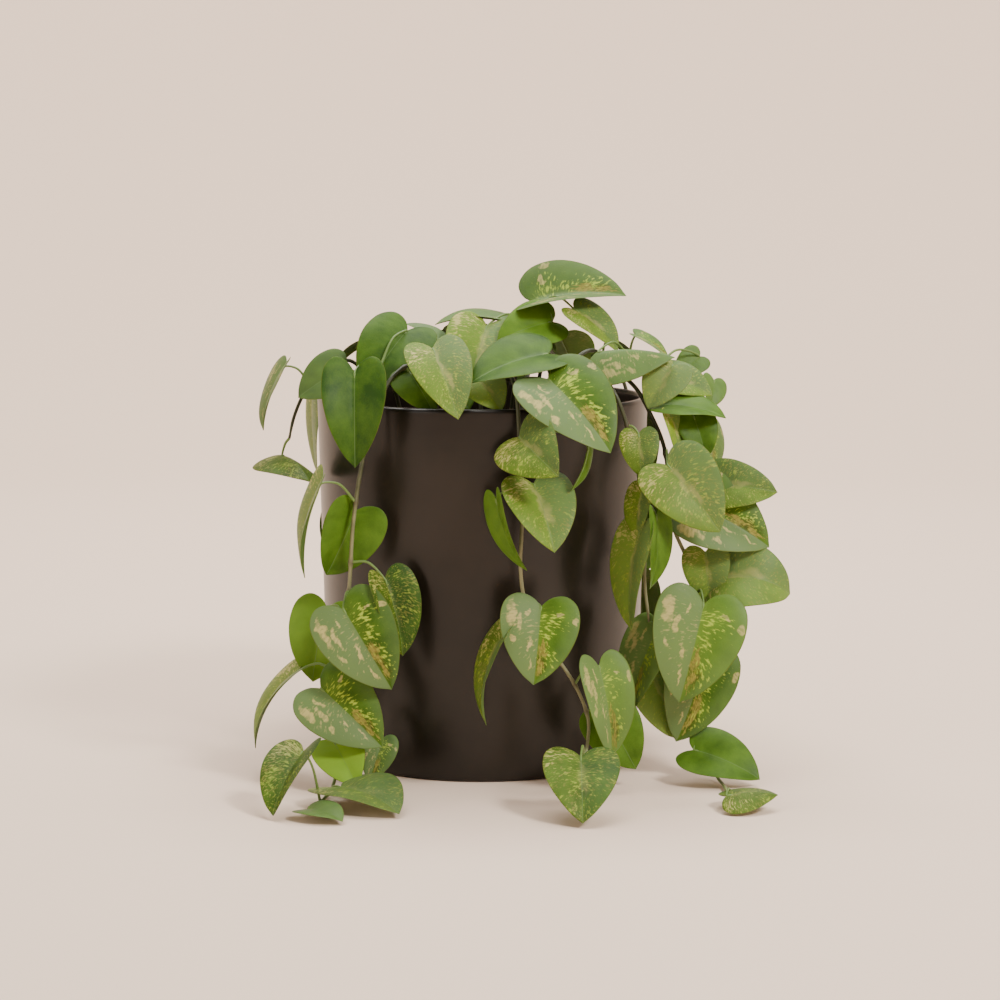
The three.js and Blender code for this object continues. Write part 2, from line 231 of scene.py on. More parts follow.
def smooth_path(knots: Sequence[Sequence[float]], count: int, fineness: int = 24) -> Array:
    """A centripetal Catmull-Rom curve through some knots.

    Each span between two knots is a cubic. Its end slopes come from the knots on both sides, weighted
    by the square roots of their distances, and past each end stands the mirror of the second knot.

    Args:
        knots: The points that the curve passes through.
        count: How many places to give along it.
        fineness: Samples taken in each span before they are spaced out evenly.

    Returns:
        The places, evenly spaced along the curve, with the first and last knot as its ends.
    """
    given = np.asarray(knots, float)
    line = np.vstack([2 * given[0] - given[1], given, 2 * given[-1] - given[-2]])
    steps = np.sqrt(np.linalg.norm(np.diff(line, axis=0), axis=1))[:, None]
    before, during, after = steps[:-2], steps[1:-1], steps[2:]
    back, start, end, onward = line[:-3], line[1:-2], line[2:-1], line[3:]
    leaving = (start - back) / before - (end - back) / (before + during) + (end - start) / during
    arriving = (end - start) / during - (onward - start) / (during + after) + (onward - end) / after
    leaving, arriving = leaving * during, arriving * during
    share = np.linspace(0, 1, fineness, endpoint=False)[None, :, None]
    square = (3 * (end - start) - 2 * leaving - arriving)[:, None]
    cube = (2 * (start - end) + leaving + arriving)[:, None]
    dense = start[:, None] + leaving[:, None] * share + square * share**2 + cube * share**3
    dense = np.vstack([dense.reshape(-1, given.shape[1]), given[-1:]])
    travelled = np.concatenate([[0], np.cumsum(np.linalg.norm(np.diff(dense, axis=0), axis=1))])
    wanted = np.linspace(0, travelled[-1], count)
    return np.stack([np.interp(wanted, travelled, column) for column in dense.T], axis=1)


def tube(path: Array, radii: Array, sides: int) -> Shell:
    """A round tube along a path, closed to a point at both ends.

    Each ring is a circle square to the path. Its first axis is the direction that all the path's tangents
    avoid most, made square to the ring's own tangent, so the rings don't twist.

    Args:
        path: The ring centres.
        radii: Each ring's radius.
        sides: Points in a ring.

    Returns:
        The tube, with the layer `along` from 0 at its start to 1 at its end.
    """
    tangents = unit(np.gradient(path, axis=0))
    avoided = np.linalg.svd(tangents)[2][-1]
    first = unit(avoided - (tangents @ avoided)[:, None] * tangents)
    second = np.cross(tangents, first)
    angles = np.linspace(0, 2 * pi, sides, endpoint=False)[:, None]
    circle = first[:, None] * np.cos(angles) + second[:, None] * np.sin(angles)
    share = np.repeat(np.linspace(0, 1, len(path)), sides)
    shell = capped(path[:1], path[:, None] + circle * radii[:, None, None], path[-1:])
    return shell.storing(along=np.concatenate([[0.0], share, [1.0]]))


def rings_round(profile: Array, sides: int) -> Array:
    """Rings of places about the Z axis.

    Args:
        profile: Radius and height for each ring.
        sides: Steps round the axis.

    Returns:
        The rings, with one more axis for X, Y and Z.
    """
    angles = np.linspace(0, 2 * pi, sides, endpoint=False)
    radius, height = profile.T[:, :, None]
    level = np.broadcast_to(height, (len(profile), sides))
    return np.stack([radius * np.cos(angles), radius * np.sin(angles), level], axis=-1)


def turned(profile: Array, sides: int) -> Shell:
    """A surface turned about the Z axis.

    Args:
        profile: Radius and height at each point, from the axis, out and round, and back to the axis.
        sides: Steps round the axis.

    Returns:
        The closed surface, facing outwards for a profile that runs from the bottom round to the top.
    """
    poles = [[(0.0, 0.0, end[1])] for end in profile[[0, -1]]]
    return capped(poles[0], rings_round(profile[1:-1], sides), poles[1])


def arc(centre: tuple[float, float], radius: float, start: float, end: float, count: int) -> Array:
    """Points on a circle in a profile.

    Args:
        centre: Radius and height of its middle.
        radius: Its own radius.
        start: The first point's angle, in degrees from outwards to up.
        end: The last point's angle.
        count: How many points.

    Returns:
        Radius and height at each point.
    """
    angles = np.radians(np.linspace(start, end, count))
    return np.stack([centre[0] + radius * np.cos(angles), centre[1] + radius * np.sin(angles)], axis=1)


def lumps(places: Array, seed: int, waves: int, finest: float, coarsest: float) -> Array:
    """A bumpy height between about -1 and 1 for places on a plane or in space.

    It is a sum of sine waves in random directions. Their wavelengths run from the finest to the coarsest
    in steps of equal ratio, and each wave's height goes as the square root of its wavelength.

    Args:
        places: The places, a row each.
        seed: The seed of the random draw.
        waves: How many waves to add.
        finest: The shortest wavelength, in metres.
        coarsest: The longest wavelength, in metres.

    Returns:
        The height at each place.
    """
    draw = np.random.default_rng(seed)
    lengths = np.geomspace(finest, coarsest, waves)
    directions = unit(draw.normal(size=(waves, places.shape[1])))
    phases = draw.uniform(0, 2 * pi, waves)
    heights = np.sqrt(lengths / lengths.sum())
    return np.sin(places @ (directions * (2 * pi / lengths)[:, None]).T + phases) @ heights


# ---------------- finishes


class Graph:
    """The shader nodes of one material, added and joined in reading order."""

    def __init__(self, name: str) -> None:
        """Starts a material that holds one Principled shader and its output."""
        self.material = bpy.data.materials.new(name)
        self.material.use_nodes = True
        self.tree = self.material.node_tree
        self.tree.nodes.clear()
        self.shader = self.add("BsdfPrincipled")
        self.add("OutputMaterial", self.shader.outputs["BSDF"])

    def feed(self, socket: Socket, value: object) -> None:
        """Puts a value on a socket, or joins another node's output to it.

        Args:
            socket: The input that gets it.
            value: A number, a colour, a vector or an output.
        """
        if isinstance(value, Socket):
            self.tree.links.new(value, socket)
        elif isinstance(value, tuple) and socket.type == "RGBA":
            socket.default_value = (*value, 1.0)
        else:
            socket.default_value = value

    def add(self, kind: str, *values: object, **settings: object) -> bpy.types.Node:
        """Adds a node.

        Args:
            kind: The node's type, without the words that all types start with.
            values: What its inputs get, in order.
            settings: Its own settings, by name.

        Returns:
            The node.
        """
        node = self.tree.nodes.new(f"ShaderNode{kind}")
        for name, setting in settings.items():
            setattr(node, name, setting)
        for socket, value in zip(node.inputs, values):
            self.feed(socket, value)
        return node

    def fill(self, node: bpy.types.Node, **values: object) -> bpy.types.Node:
        """Sets a node's inputs by name.

        Args:
            node: The node.
            values: What the inputs get, with _ for each space in their names.

        Returns:
            The node itself.
        """
        for name, value in values.items():
            self.feed(node.inputs[name.replace("_", " ")], value)
        return node

    def stored(self, name: str, output: str = "Fac") -> Socket:
        """What the mesh stores at each point under a name."""
        return self.add("Attribute", attribute_name=name).outputs[output]

    def place(self) -> Socket:
        """The place on the object, in metres."""
        return self.add("TexCoord").outputs["Object"]

    def parts(self, vector: Socket) -> tuple[Socket, ...]:
        """The three parts of a vector."""
        return tuple(self.add("SeparateXYZ", vector).outputs)

    def vector(self, *values: object) -> Socket:
        """A vector from its parts."""
        return self.add("CombineXYZ", *values).outputs[0]

    def sum(self, operation: str, *values: object) -> Socket:
        """A number worked out from one, two or three numbers."""
        return self.add("Math", *values, operation=operation).outputs[0]

    def vectors(self, operation: str, *values: object) -> Socket:
        """A vector worked out from some vectors, or the length of one."""
        outputs = self.add("VectorMath", *values, operation=operation).outputs
        return outputs["Value" if operation == "LENGTH" else "Vector"]

    def product(self, first: object, *others: object) -> object:
        """Numbers multiplied together."""
        return reduce(lambda so_far, other: self.sum("MULTIPLY", so_far, other), others, first)

    def scaled(self, value: object, factor: float, offset: object) -> Socket:
        """A number times a factor, with an offset added."""
        return self.sum("MULTIPLY_ADD", value, factor, offset)

    def off_middle(self, noise: object, amount: float) -> Socket:
        """Noise about 0.5 as a push about 0, times an amount."""
        return self.scaled(noise, amount, -amount / 2)

    def step(self, value: object, low: float, high: float) -> Socket:
        """A smooth rise from 0 at low to 1 at high, or a fall where low is the larger."""
        ends = (low, high) if low <= high else (high, low, 1.0, 0.0)
        return self.add("MapRange", value, *ends, interpolation_type="SMOOTHSTEP").outputs[0]

    def noise(self, place: object, scale: float, detail: float = 2.0, output: str = "Fac") -> Socket:
        """Soft noise about 0.5, with a number of finer layers."""
        return self.fill(self.add("TexNoise"), Vector=place, Scale=scale, Detail=detail).outputs[output]

    def mix(self, share: object, first: object, second: object) -> Socket:
        """A colour that turns into another.

        Args:
            share: How far it has turned, 0 to 1.
            first: The colour at 0.
            second: The colour at 1.

        Returns:
            The colour.
        """
        node = self.add("Mix", data_type="RGBA")
        named = [socket for socket in node.inputs if socket.enabled]
        for socket, value in zip(named, (share, first, second)):
            self.feed(socket, value)
        return next(socket for socket in node.outputs if socket.enabled)

    def paint(self, colour: object, paint: object, *shares: object) -> Socket:
        """A colour with another painted over it, as thickly as the product of some shares."""
        return self.mix(self.product(*shares), colour, paint)

    def bump(self, height: object, distance: float, strength: float) -> None:
        """Raises the surface's shading by a height of 0 to 1, over a distance in metres."""
        node = self.fill(self.add("Bump"), Strength=strength, Distance=distance, Height=height)
        self.fill(self.shader, Normal=node.outputs["Normal"])

    def finish(self, **values: object) -> Material:
        """Sets the shader's inputs, and gives the material."""
        self.fill(self.shader, **values)
        return self.material


@dataclass(frozen=True)
class Spot:
    """A patch on a blade: its middle and its reach, across and along, in leaf lengths. As the blade hangs,
    seen from the front, a place to the left has a negative across."""

    across: float
    along: float
    wide: float
    long: float


Spots = tuple[Spot, ...]


class LeafGraph(Graph):
    """The blades' nodes: what each blade stores, and the places on it that its patterns follow.

    The mesh stores `leaf_place`, across and along the blade in leaf lengths; `vein_place`, from the
    midrib to the edge and along the midrib, each 0 to 1; and `seed`, `halved`, `flecked`, `tone`, `pale`
    and `below`. Patterns are noise on the blade laid flat, or drawn out along the side veins (veined,
    and dashed more so) or towards the tip (lengthwise), so every leaf differs by its seed.
    """

    def __init__(self) -> None:
        """Reads the stored values and makes the places."""
        super().__init__("leaf_blade")
        self.across, along, _ = self.parts(self.stored("leaf_place", "Vector"))
        self.outward, row, _ = self.parts(self.stored("vein_place", "Vector"))
        seed, self.tone, self.pale, self.below = map(self.stored, ("seed", "tone", "pale", "below"))
        # pale is painted sheen: the patterns fade where the blade is painted grey-green as if it reflected
        # bright light
        clear = self.scaled(self.pale, -0.6, 1.0)
        self.halved = self.product(self.stored("halved"), clear)
        self.flecked = self.product(self.stored("flecked"), clear)
        self.flat = self.vector(self.across, along, seed)
        self.veined = self.vector(self.product(self.outward, 0.24), row, self.product(seed, 1.7))
        self.dashed = self.vector(self.product(self.outward, 0.13), row, seed)
        self.lengthwise = self.vector(self.product(self.across, 5.0), along, seed)

    def halves(self, share: Socket, blur: float) -> tuple[Socket, Socket]:
        """A share as it is on the left half of the blade and on the right half."""
        on_left = self.product(self.step(self.across, blur, -blur), share)
        return on_left, self.sum("SUBTRACT", share, on_left)

    def warped(self, coarse: float, amount: float) -> Socket:
        """The place on the blade, pushed about by noise.

        Args:
            coarse: The scale of the noise.
            amount: How far it pushes, in leaf lengths.

        Returns:
            The place, with nothing in its third part.
        """
        noise = self.noise(self.flat, coarse, 4.0, "Color")
        shift = self.vectors("SUBTRACT", noise, (0.5, 0.5, 0.5))
        moved = self.vectors("MULTIPLY_ADD", shift, (amount, amount, 0.0), self.flat)
        return self.vectors("MULTIPLY", moved, (1.0, 1.0, 0.0))

    def depth(self, warped: Socket, spots: Spots) -> Socket:
        """How deep a place lies in the nearest of some spots: 1 in its middle, 0 at its edge and down to -1
        outside, as one less the distance from the middle over the spot's reach.

        Args:
            warped: The place on the blade, already pushed about by noise.
            spots: The spots.

        Returns:
            The depth.
        """
        deepest: object = -1.0
        for spot in spots:
            away = self.vectors("SUBTRACT", warped, (spot.across, spot.along, 0.0))
            distance = self.vectors("LENGTH", self.vectors("DIVIDE", away, (spot.wide, spot.long, 1.0)))
            deepest = self.sum("MAXIMUM", self.sum("SUBTRACT", 1.0, distance), deepest)
        return deepest

    def blotches(self, depth: object, grain: object, wear: object, push: float = 2.0) -> Socket:
        """Patches where a depth is above 0: a grain of streaks pushes their soft edges in and out, and a
        finer one wears them thin in places."""
        covered = self.step(self.sum("ADD", depth, self.off_middle(grain, push)), -0.05, 0.40)
        return self.product(covered, self.scaled(self.step(wear, 0.36, 0.56), 0.5, 0.5))

    def flecks(self, depth: object, grain: object, level: float, gain: float) -> Socket:
        """Thin flecks where a grain of streaks passes a level, which the depth in some zones lowers."""
        return self.step(self.scaled(depth, gain, grain), level - 0.03, level + 0.12)


@dataclass(frozen=True)
class LeafFinish:
    """A glossy variegated blade."""

    deep_green: Colour = (0.019, 0.056, 0.005)
    fresh_green: Colour = (0.098, 0.200, 0.018)
    # painted light: the lit-through green that blades of high tone turn to, as if light shone through them
    # or lifted them out of shade
    painted_light_green: Colour = (0.200, 0.360, 0.028)
    grey_green: Colour = (0.134, 0.208, 0.078)
    lime: Colour = (0.420, 0.550, 0.060)
    cream: Colour = (0.460, 0.400, 0.150)
    straw: Colour = (0.280, 0.240, 0.050)
    olive: Colour = (0.057, 0.060, 0.010)
    underside: Colour = (0.095, 0.165, 0.035)
    margin: Colour = (0.100, 0.110, 0.015)
    roughness: float = 0.46
    vein_depth: float = 0.00025
    lobe_spots: Spots = (
        Spot(-0.35, 0.14, 0.060, 0.180), Spot(-0.24, 0.24, 0.038, 0.140), Spot(-0.16, 0.10, 0.026, 0.080),
        Spot(-0.11, 0.50, 0.024, 0.080), Spot(-0.30, 0.46, 0.034, 0.060), Spot(-0.07, 0.74, 0.016, 0.100),
    )
    edge_spots: Spots = (Spot(0.42, 0.16, 0.045, 0.060), Spot(0.24, 0.10, 0.060, 0.030))
    lime_zones: Spots = (
        Spot(0.14, 0.16, 0.180, 0.120), Spot(0.10, 0.36, 0.100, 0.120), Spot(0.12, 0.64, 0.100, 0.180),
    )
    cream_zones: Spots = (Spot(-0.10, 0.40, 0.120, 0.300), Spot(-0.30, 0.24, 0.120, 0.240))
    tip_shade: Spots = (Spot(0.060, 0.66, 0.070, 0.240),)
    tip_spots: Spots = (Spot(0.060, 0.56, 0.055, 0.120), Spot(0.050, 0.76, 0.035, 0.130))
    fleck_zones: Spots = (Spot(-0.36, 0.08, 0.130, 0.240), Spot(-0.20, 0.02, 0.200, 0.120))
    rib_streak_and_sheen_spots: Spots = (Spot(0.00, 0.26, 0.045, 0.220), Spot(0.05, 0.48, 0.05, 0.160))

    def material(self) -> Material:
        """The blades' finish.

        Returns:
            The material: green by tone, which carries painted light and shade, with a painted lit-through
                green on the
            brightest blades, then the patterns with their painted sheen, the midrib, the edge and the
            underside.
        """
        graph = LeafGraph()
        mottle, cells = graph.noise(graph.flat, 3.0, 3.0), graph.noise(graph.flat, 60.0)
        # the tone is partly each leaf's own shade of green and partly painted light and shade
        share = graph.scaled(graph.tone, 0.36, 0.5)
        for grain, amount in ((mottle, 0.8), (graph.noise(graph.veined, 7.0), 0.9), (cells, 0.35)):
            share = graph.sum("ADD", share, graph.off_middle(grain, amount))
        green = graph.mix(share, self.deep_green, self.fresh_green)
        # painted light: above a tone of 0.8 the blade turns to the lit-through green
        green = graph.mix(graph.step(graph.tone, 0.8, 2.0), green, self.painted_light_green)
        colour = self.flecked_pattern(graph, self.halved_pattern(graph, green))

        rib = graph.step(graph.sum("ABSOLUTE", graph.across), 0.009, 0.002)
        edge = graph.step(graph.sum("ABSOLUTE", graph.outward), 0.97, 0.995)
        colour = graph.paint(colour, self.grey_green, rib, 0.45)
        colour = graph.paint(colour, self.margin, edge, 0.6)
        colour = graph.paint(colour, self.underside, graph.below, 0.72)
        ridges = graph.noise(graph.veined, 14.0, 1.0)
        graph.bump(graph.scaled(cells, 0.3, ridges), self.vein_depth, 0.8)
        rough = graph.sum("ADD", graph.off_middle(mottle, 0.2), self.roughness)
        return graph.finish(
            Base_Color=colour,
            Roughness=graph.scaled(graph.below, 0.14, rough),
            Specular_IOR_Level=0.12,
            Subsurface_Weight=0.12,
            Subsurface_Radius=(0.5, 1.0, 0.1),
            Subsurface_Scale=0.0015,
        )

    def halved_pattern(self, graph: LeafGraph, green: Socket) -> Socket:
        """Cream blotches on a grey-green left half, and lime streaks on the yellower right half, with an
        olive and straw patch towards the tip, streaked lengthwise. The left half's grey-green is partly the
        leaf's own colour and partly painted sheen, as a tilted half would reflect bright light, and the pale
        value paints that sheen over the whole blade.

        Args:
            graph: The material's nodes.
            green: The blade's plain colour.

        Returns:
            The colour with the pattern.
        """
        on_left, on_right = graph.halves(graph.halved, 0.004)
        # painted sheen: the left half and pale blades turn grey-green, partly the leaf's own tint and partly
        # a painted reflection of bright light
        sheen_and_half_tint = graph.sum("MAXIMUM", graph.product(on_left, 0.8), graph.pale)
        colour = graph.mix(sheen_and_half_tint, green, self.grey_green)
        by_rib = graph.step(graph.sum("ABSOLUTE", graph.outward), 0.55, 0.05)
        colour = graph.paint(colour, self.lime, on_right, by_rib, 0.05)
        colour = graph.paint(colour, self.grey_green, on_right, graph.step(graph.outward, 0.45, 0.95), 0.30)

        warped = graph.warped(8.0, 0.16)
        fine = graph.noise(graph.dashed, 52.0, 3.0)
        broken = graph.noise(graph.veined, 19.0, 4.0)
        drawn = graph.noise(graph.lengthwise, 13.0, 3.0)
        for paint, zones, level, gain, half, share in (
            (self.lime, self.lime_zones, 0.585, 0.14, on_right, 0.8),
            (self.cream, self.cream_zones, 0.62, 0.10, on_left, 0.5),
        ):
            flecks = graph.flecks(graph.depth(warped, zones), fine, level, gain)
            colour = graph.paint(colour, paint, flecks, half, share)
        for paint, spots, grain, wear, push, half, share in (
            (self.cream, self.lobe_spots, broken, fine, 2.0, on_left, 0.9),
            (self.cream, self.edge_spots, broken, fine, 2.0, on_right, 0.8),
            (self.olive, self.tip_shade, drawn, broken, 2.0, on_right, 0.75),
            (self.straw, self.tip_spots, drawn, fine, 3.2, on_right, 0.85),
        ):
            blotches = graph.blotches(graph.depth(warped, spots), grain, wear, push)
            colour = graph.paint(colour, paint, blotches, half, share)
        streaks = graph.flecks(graph.depth(warped, self.tip_shade), drawn, 0.66, 0.10)
        return graph.paint(colour, self.lime, streaks, on_right, 0.6)

    def flecked_pattern(self, graph: LeafGraph, colour: Socket) -> Socket:
        """Pale dashes along the side veins: close together on the yellower left half, thickest and tan by
        its edge, few on the greyer right half, whose grey-green is painted sheen, and a soft pale streak on
        the midrib near the stalk, partly the rib's own colour and partly painted sheen.

        Args:
            graph: The material's nodes.
            colour: The colour so far.

        Returns:
            The colour with the pattern, whose palest parts show less on a dark blade.
        """
        flecked = graph.flecked
        lit = graph.scaled(graph.step(graph.tone, -1.3, 0.0), 0.7, 0.3)
        on_left, on_right = graph.halves(flecked, 0.06)
        # painted sheen: the right half is painted grey-green as if it reflected bright light, less so on
        # dark blades
        colour = graph.paint(colour, self.grey_green, on_right, lit, lit, 0.55)
        colour = graph.paint(colour, self.lime, on_left, lit, 0.13)

        warped = graph.warped(6.0, 0.2)
        zones = graph.depth(warped, self.fleck_zones)
        clusters = graph.off_middle(graph.noise(graph.flat, 3.6), 0.35)
        fine = graph.sum("ADD", graph.noise(graph.dashed, 80.0), clusters)
        medium = graph.sum("ADD", graph.noise(graph.dashed, 40.0, 3.0), clusters)
        for paint, grain, level, gain, shares in (
            (self.straw, fine, 0.50, 0.04, (flecked, 0.35)),
            (self.lime, medium, 0.55, 0.04, (flecked, 0.35)),
            (self.cream, medium, 0.61, 0.17, (on_left, lit, 0.75)),
            (self.cream, fine, 0.61, 0.10, (flecked, lit, 0.60)),
        ):
            colour = graph.paint(colour, paint, graph.flecks(zones, grain, level, gain), *shares)
        # painted sheen: the pale streak along the midrib is partly the rib's own colour and partly a painted
        # reflection
        streak = graph.step(graph.depth(warped, self.rib_streak_and_sheen_spots), -0.3, 0.7)
        return graph.paint(colour, self.cream, streak, flecked, lit, lit, 0.35)


@dataclass(frozen=True)
class StemFinish:
    """Stems go from nearly black at the soil to tan where they hang; petioles and midribs are green."""

    rooted: Colour = (0.036, 0.044, 0.015)
    hanging: Colour = (0.230, 0.225, 0.110)
    young: Colour = (0.160, 0.240, 0.050)
    petiole: Colour = (0.130, 0.220, 0.045)
    joint: Colour = (0.060, 0.045, 0.020)
    roughness: float = 0.45

    def material(self) -> Material:
        """The stems' finish.

        Returns:
            The material, which reads the stored `along`, `petiole` and `joint`.
        """
        graph = Graph("stem_skin")
        along, petiole, joint = map(graph.stored, ("along", "petiole", "joint"))
        place = graph.place()
        streaks = graph.noise(graph.vectors("MULTIPLY", place, (1.0, 1.0, 0.15)), 900.0, 3.0)
        blotches = graph.noise(place, 90.0)
        aged = graph.scaled(graph.sum("SUBTRACT", blotches, 0.5), 0.25, along)
        colour = graph.mix(graph.step(aged, 0.22, 0.50), self.rooted, self.hanging)
        colour = graph.mix(graph.step(along, 0.86, 1.0), colour, self.young)
        colour = graph.mix(petiole, colour, self.petiole)
        colour = graph.paint(colour, self.joint, joint, 0.6)
        colour = graph.paint(colour, self.rooted, graph.step(streaks, 0.5, 0.8), 0.3)
        graph.bump(streaks, 0.0003, 0.5)
        return graph.finish(Base_Color=colour, Roughness=graph.scaled(blotches, 0.2, self.roughness - 0.1))


@dataclass(frozen=True)
class GlazeFinish:
    """A dark bronze-brown satin glaze over an unglazed underside, a little lighter in soft patches that are
    partly its own mottling and partly painted soft reflections.
    """

    deep: Colour = (0.007, 0.005, 0.003)
    # the lighter glaze of the patches, partly mottling and partly painted reflection
    broken: Colour = (0.016, 0.012, 0.008)
    clay: Colour = (0.230, 0.150, 0.095)
    roughness: float = 0.30
    foot: float = 0.0004

    def material(self) -> Material:
        """The pot's finish.

        Returns:
            The material: glaze with soft lighter patches of mottling and painted reflection, slow ripples,
                and
            bare clay up to the foot's height.
        """
        graph = Graph("pot_glaze")
        place = graph.place()
        mottle_and_painted_reflection, grain = graph.noise(place, 9.0, 4.0), graph.noise(place, 420.0)
        ripples = graph.noise(graph.vectors("MULTIPLY", place, (1.0, 1.0, 2.2)), 26.0)
        bare = graph.step(graph.parts(place)[2], self.foot, self.foot / 2)
        # painted reflection: the lighter patches stand partly for the glaze's mottling and partly for soft
        # reflections
        colour = graph.mix(graph.step(mottle_and_painted_reflection, 0.35, 0.7), self.deep, self.broken)
        colour = graph.mix(bare, colour, self.clay)
        rough = graph.scaled(graph.sum("SUBTRACT", mottle_and_painted_reflection, 0.5), 0.12, self.roughness)
        rough = graph.scaled(bare, 0.5, rough)
        graph.bump(graph.scaled(grain, 0.06, ripples), 0.0008, 0.35)
        return graph.finish(Base_Color=colour, Roughness=rough, Specular_IOR_Level=0.36)


@dataclass(frozen=True)
class SoilFinish:
    """Moist potting mix: dark fibres and bark, with a few pale grains."""

    peat: Colour = (0.022, 0.014, 0.009)
    bark: Colour = (0.100, 0.056, 0.030)
    pale: Colour = (0.480, 0.450, 0.390)

    def material(self) -> Material:
        """The soil's finish.

        Returns:
            The material, which reads the stored `grain`, from 0 for peat to 1 for a pale grain.
        """
        graph = Graph("potting_soil")
        place, grain = graph.place(), graph.stored("grain")
        fine, coarse = graph.noise(place, 260.0, 4.0), graph.noise(place, 60.0)
        colour = graph.mix(graph.step(fine, 0.45, 0.75), self.peat, self.bark)
        colour = graph.mix(graph.step(grain, 0.2, 0.8), colour, self.bark)
        colour = graph.mix(graph.step(grain, 0.93, 0.96), colour, self.pale)
        graph.bump(graph.sum("ADD", fine, coarse), 0.002, 0.8)
        return graph.finish(Base_Color=colour, Roughness=0.92)


@dataclass(frozen=True)
class StageFinish:
    """A plain pale painted surface for the floor."""

    paint: Colour = (0.860, 0.670, 0.530)
    faded: Colour = (0.900, 0.900, 0.900)
    roughness: float = 0.75

    def material(self) -> Material:
        """The floor's finish.

        Returns:
            The material, with the faintest unevenness.
        """
        graph = Graph("stage_paint")
        colour = graph.paint(self.paint, self.faded, graph.noise(graph.place(), 1.5), 0.05)
        return graph.finish(Base_Color=colour, Roughness=self.roughness)


# ---------------- leaves


@dataclass(frozen=True)
class Leaf:
    """One blade: where its petiole meets it and its tip, in millimetres, and the way its upper face looks,
    as a turn from the front towards the right and a rise above level, in degrees.

    Its tone runs from dark at about -1 to bright at about 2. It is partly the leaf's own shade of green and
    partly painted light and shade: leaves that lie in shadow or glow with light through them have higher
    tones, brightly lit ones lower, and above 0.8 the blade turns to a painted lit-through green. Pale is
    painted sheen: it fades the blade into grey-green, as a glossy leaf tilted to bright light would look.
    Its halves fold up by some degrees and sag towards their edges, and it arches by some radians from base
    to tip.
    """

    base: Point
    tip: Point
    turn: float
    rise: float
    kind: LeafKind
    tone: float = 0.0
    # painted sheen: how far the whole blade fades into grey-green, as a glossy leaf tilted to bright light
    # would look
    pale: float = 0.0
    fold: float = 18.0
    wide: float = 1.0
    arch: float = 0.55
    sag: float = 0.35


@dataclass(frozen=True)
class BladeForm:
    """What all blades share: the heart outline in leaf lengths, and how the tissue lies."""

    outline: tuple[tuple[float, float], ...] = (
        (0.0, 0.0), (0.11, -0.11), (0.29, -0.14), (0.44, -0.02),
        (0.48, 0.24), (0.38, 0.57), (0.17, 0.86), (0.0, 1.0),
    )
    outline_points: int = 400
    crease: float = 0.02
    fan: float = 2.4
    bow: float = 0.035
    thickness: float = 0.0007
    waves_an_edge: tuple[float, float] = (1.2, 2.2)
    waviness: tuple[float, float] = (0.006, 0.012)
    quilting: float = 0.0009
    quilt_level: float = 0.6
    side_veins: int = 9
    seed_step: float = 0.73
    rows: int = 40
    columns: int = 9
    rim: float = 0.015


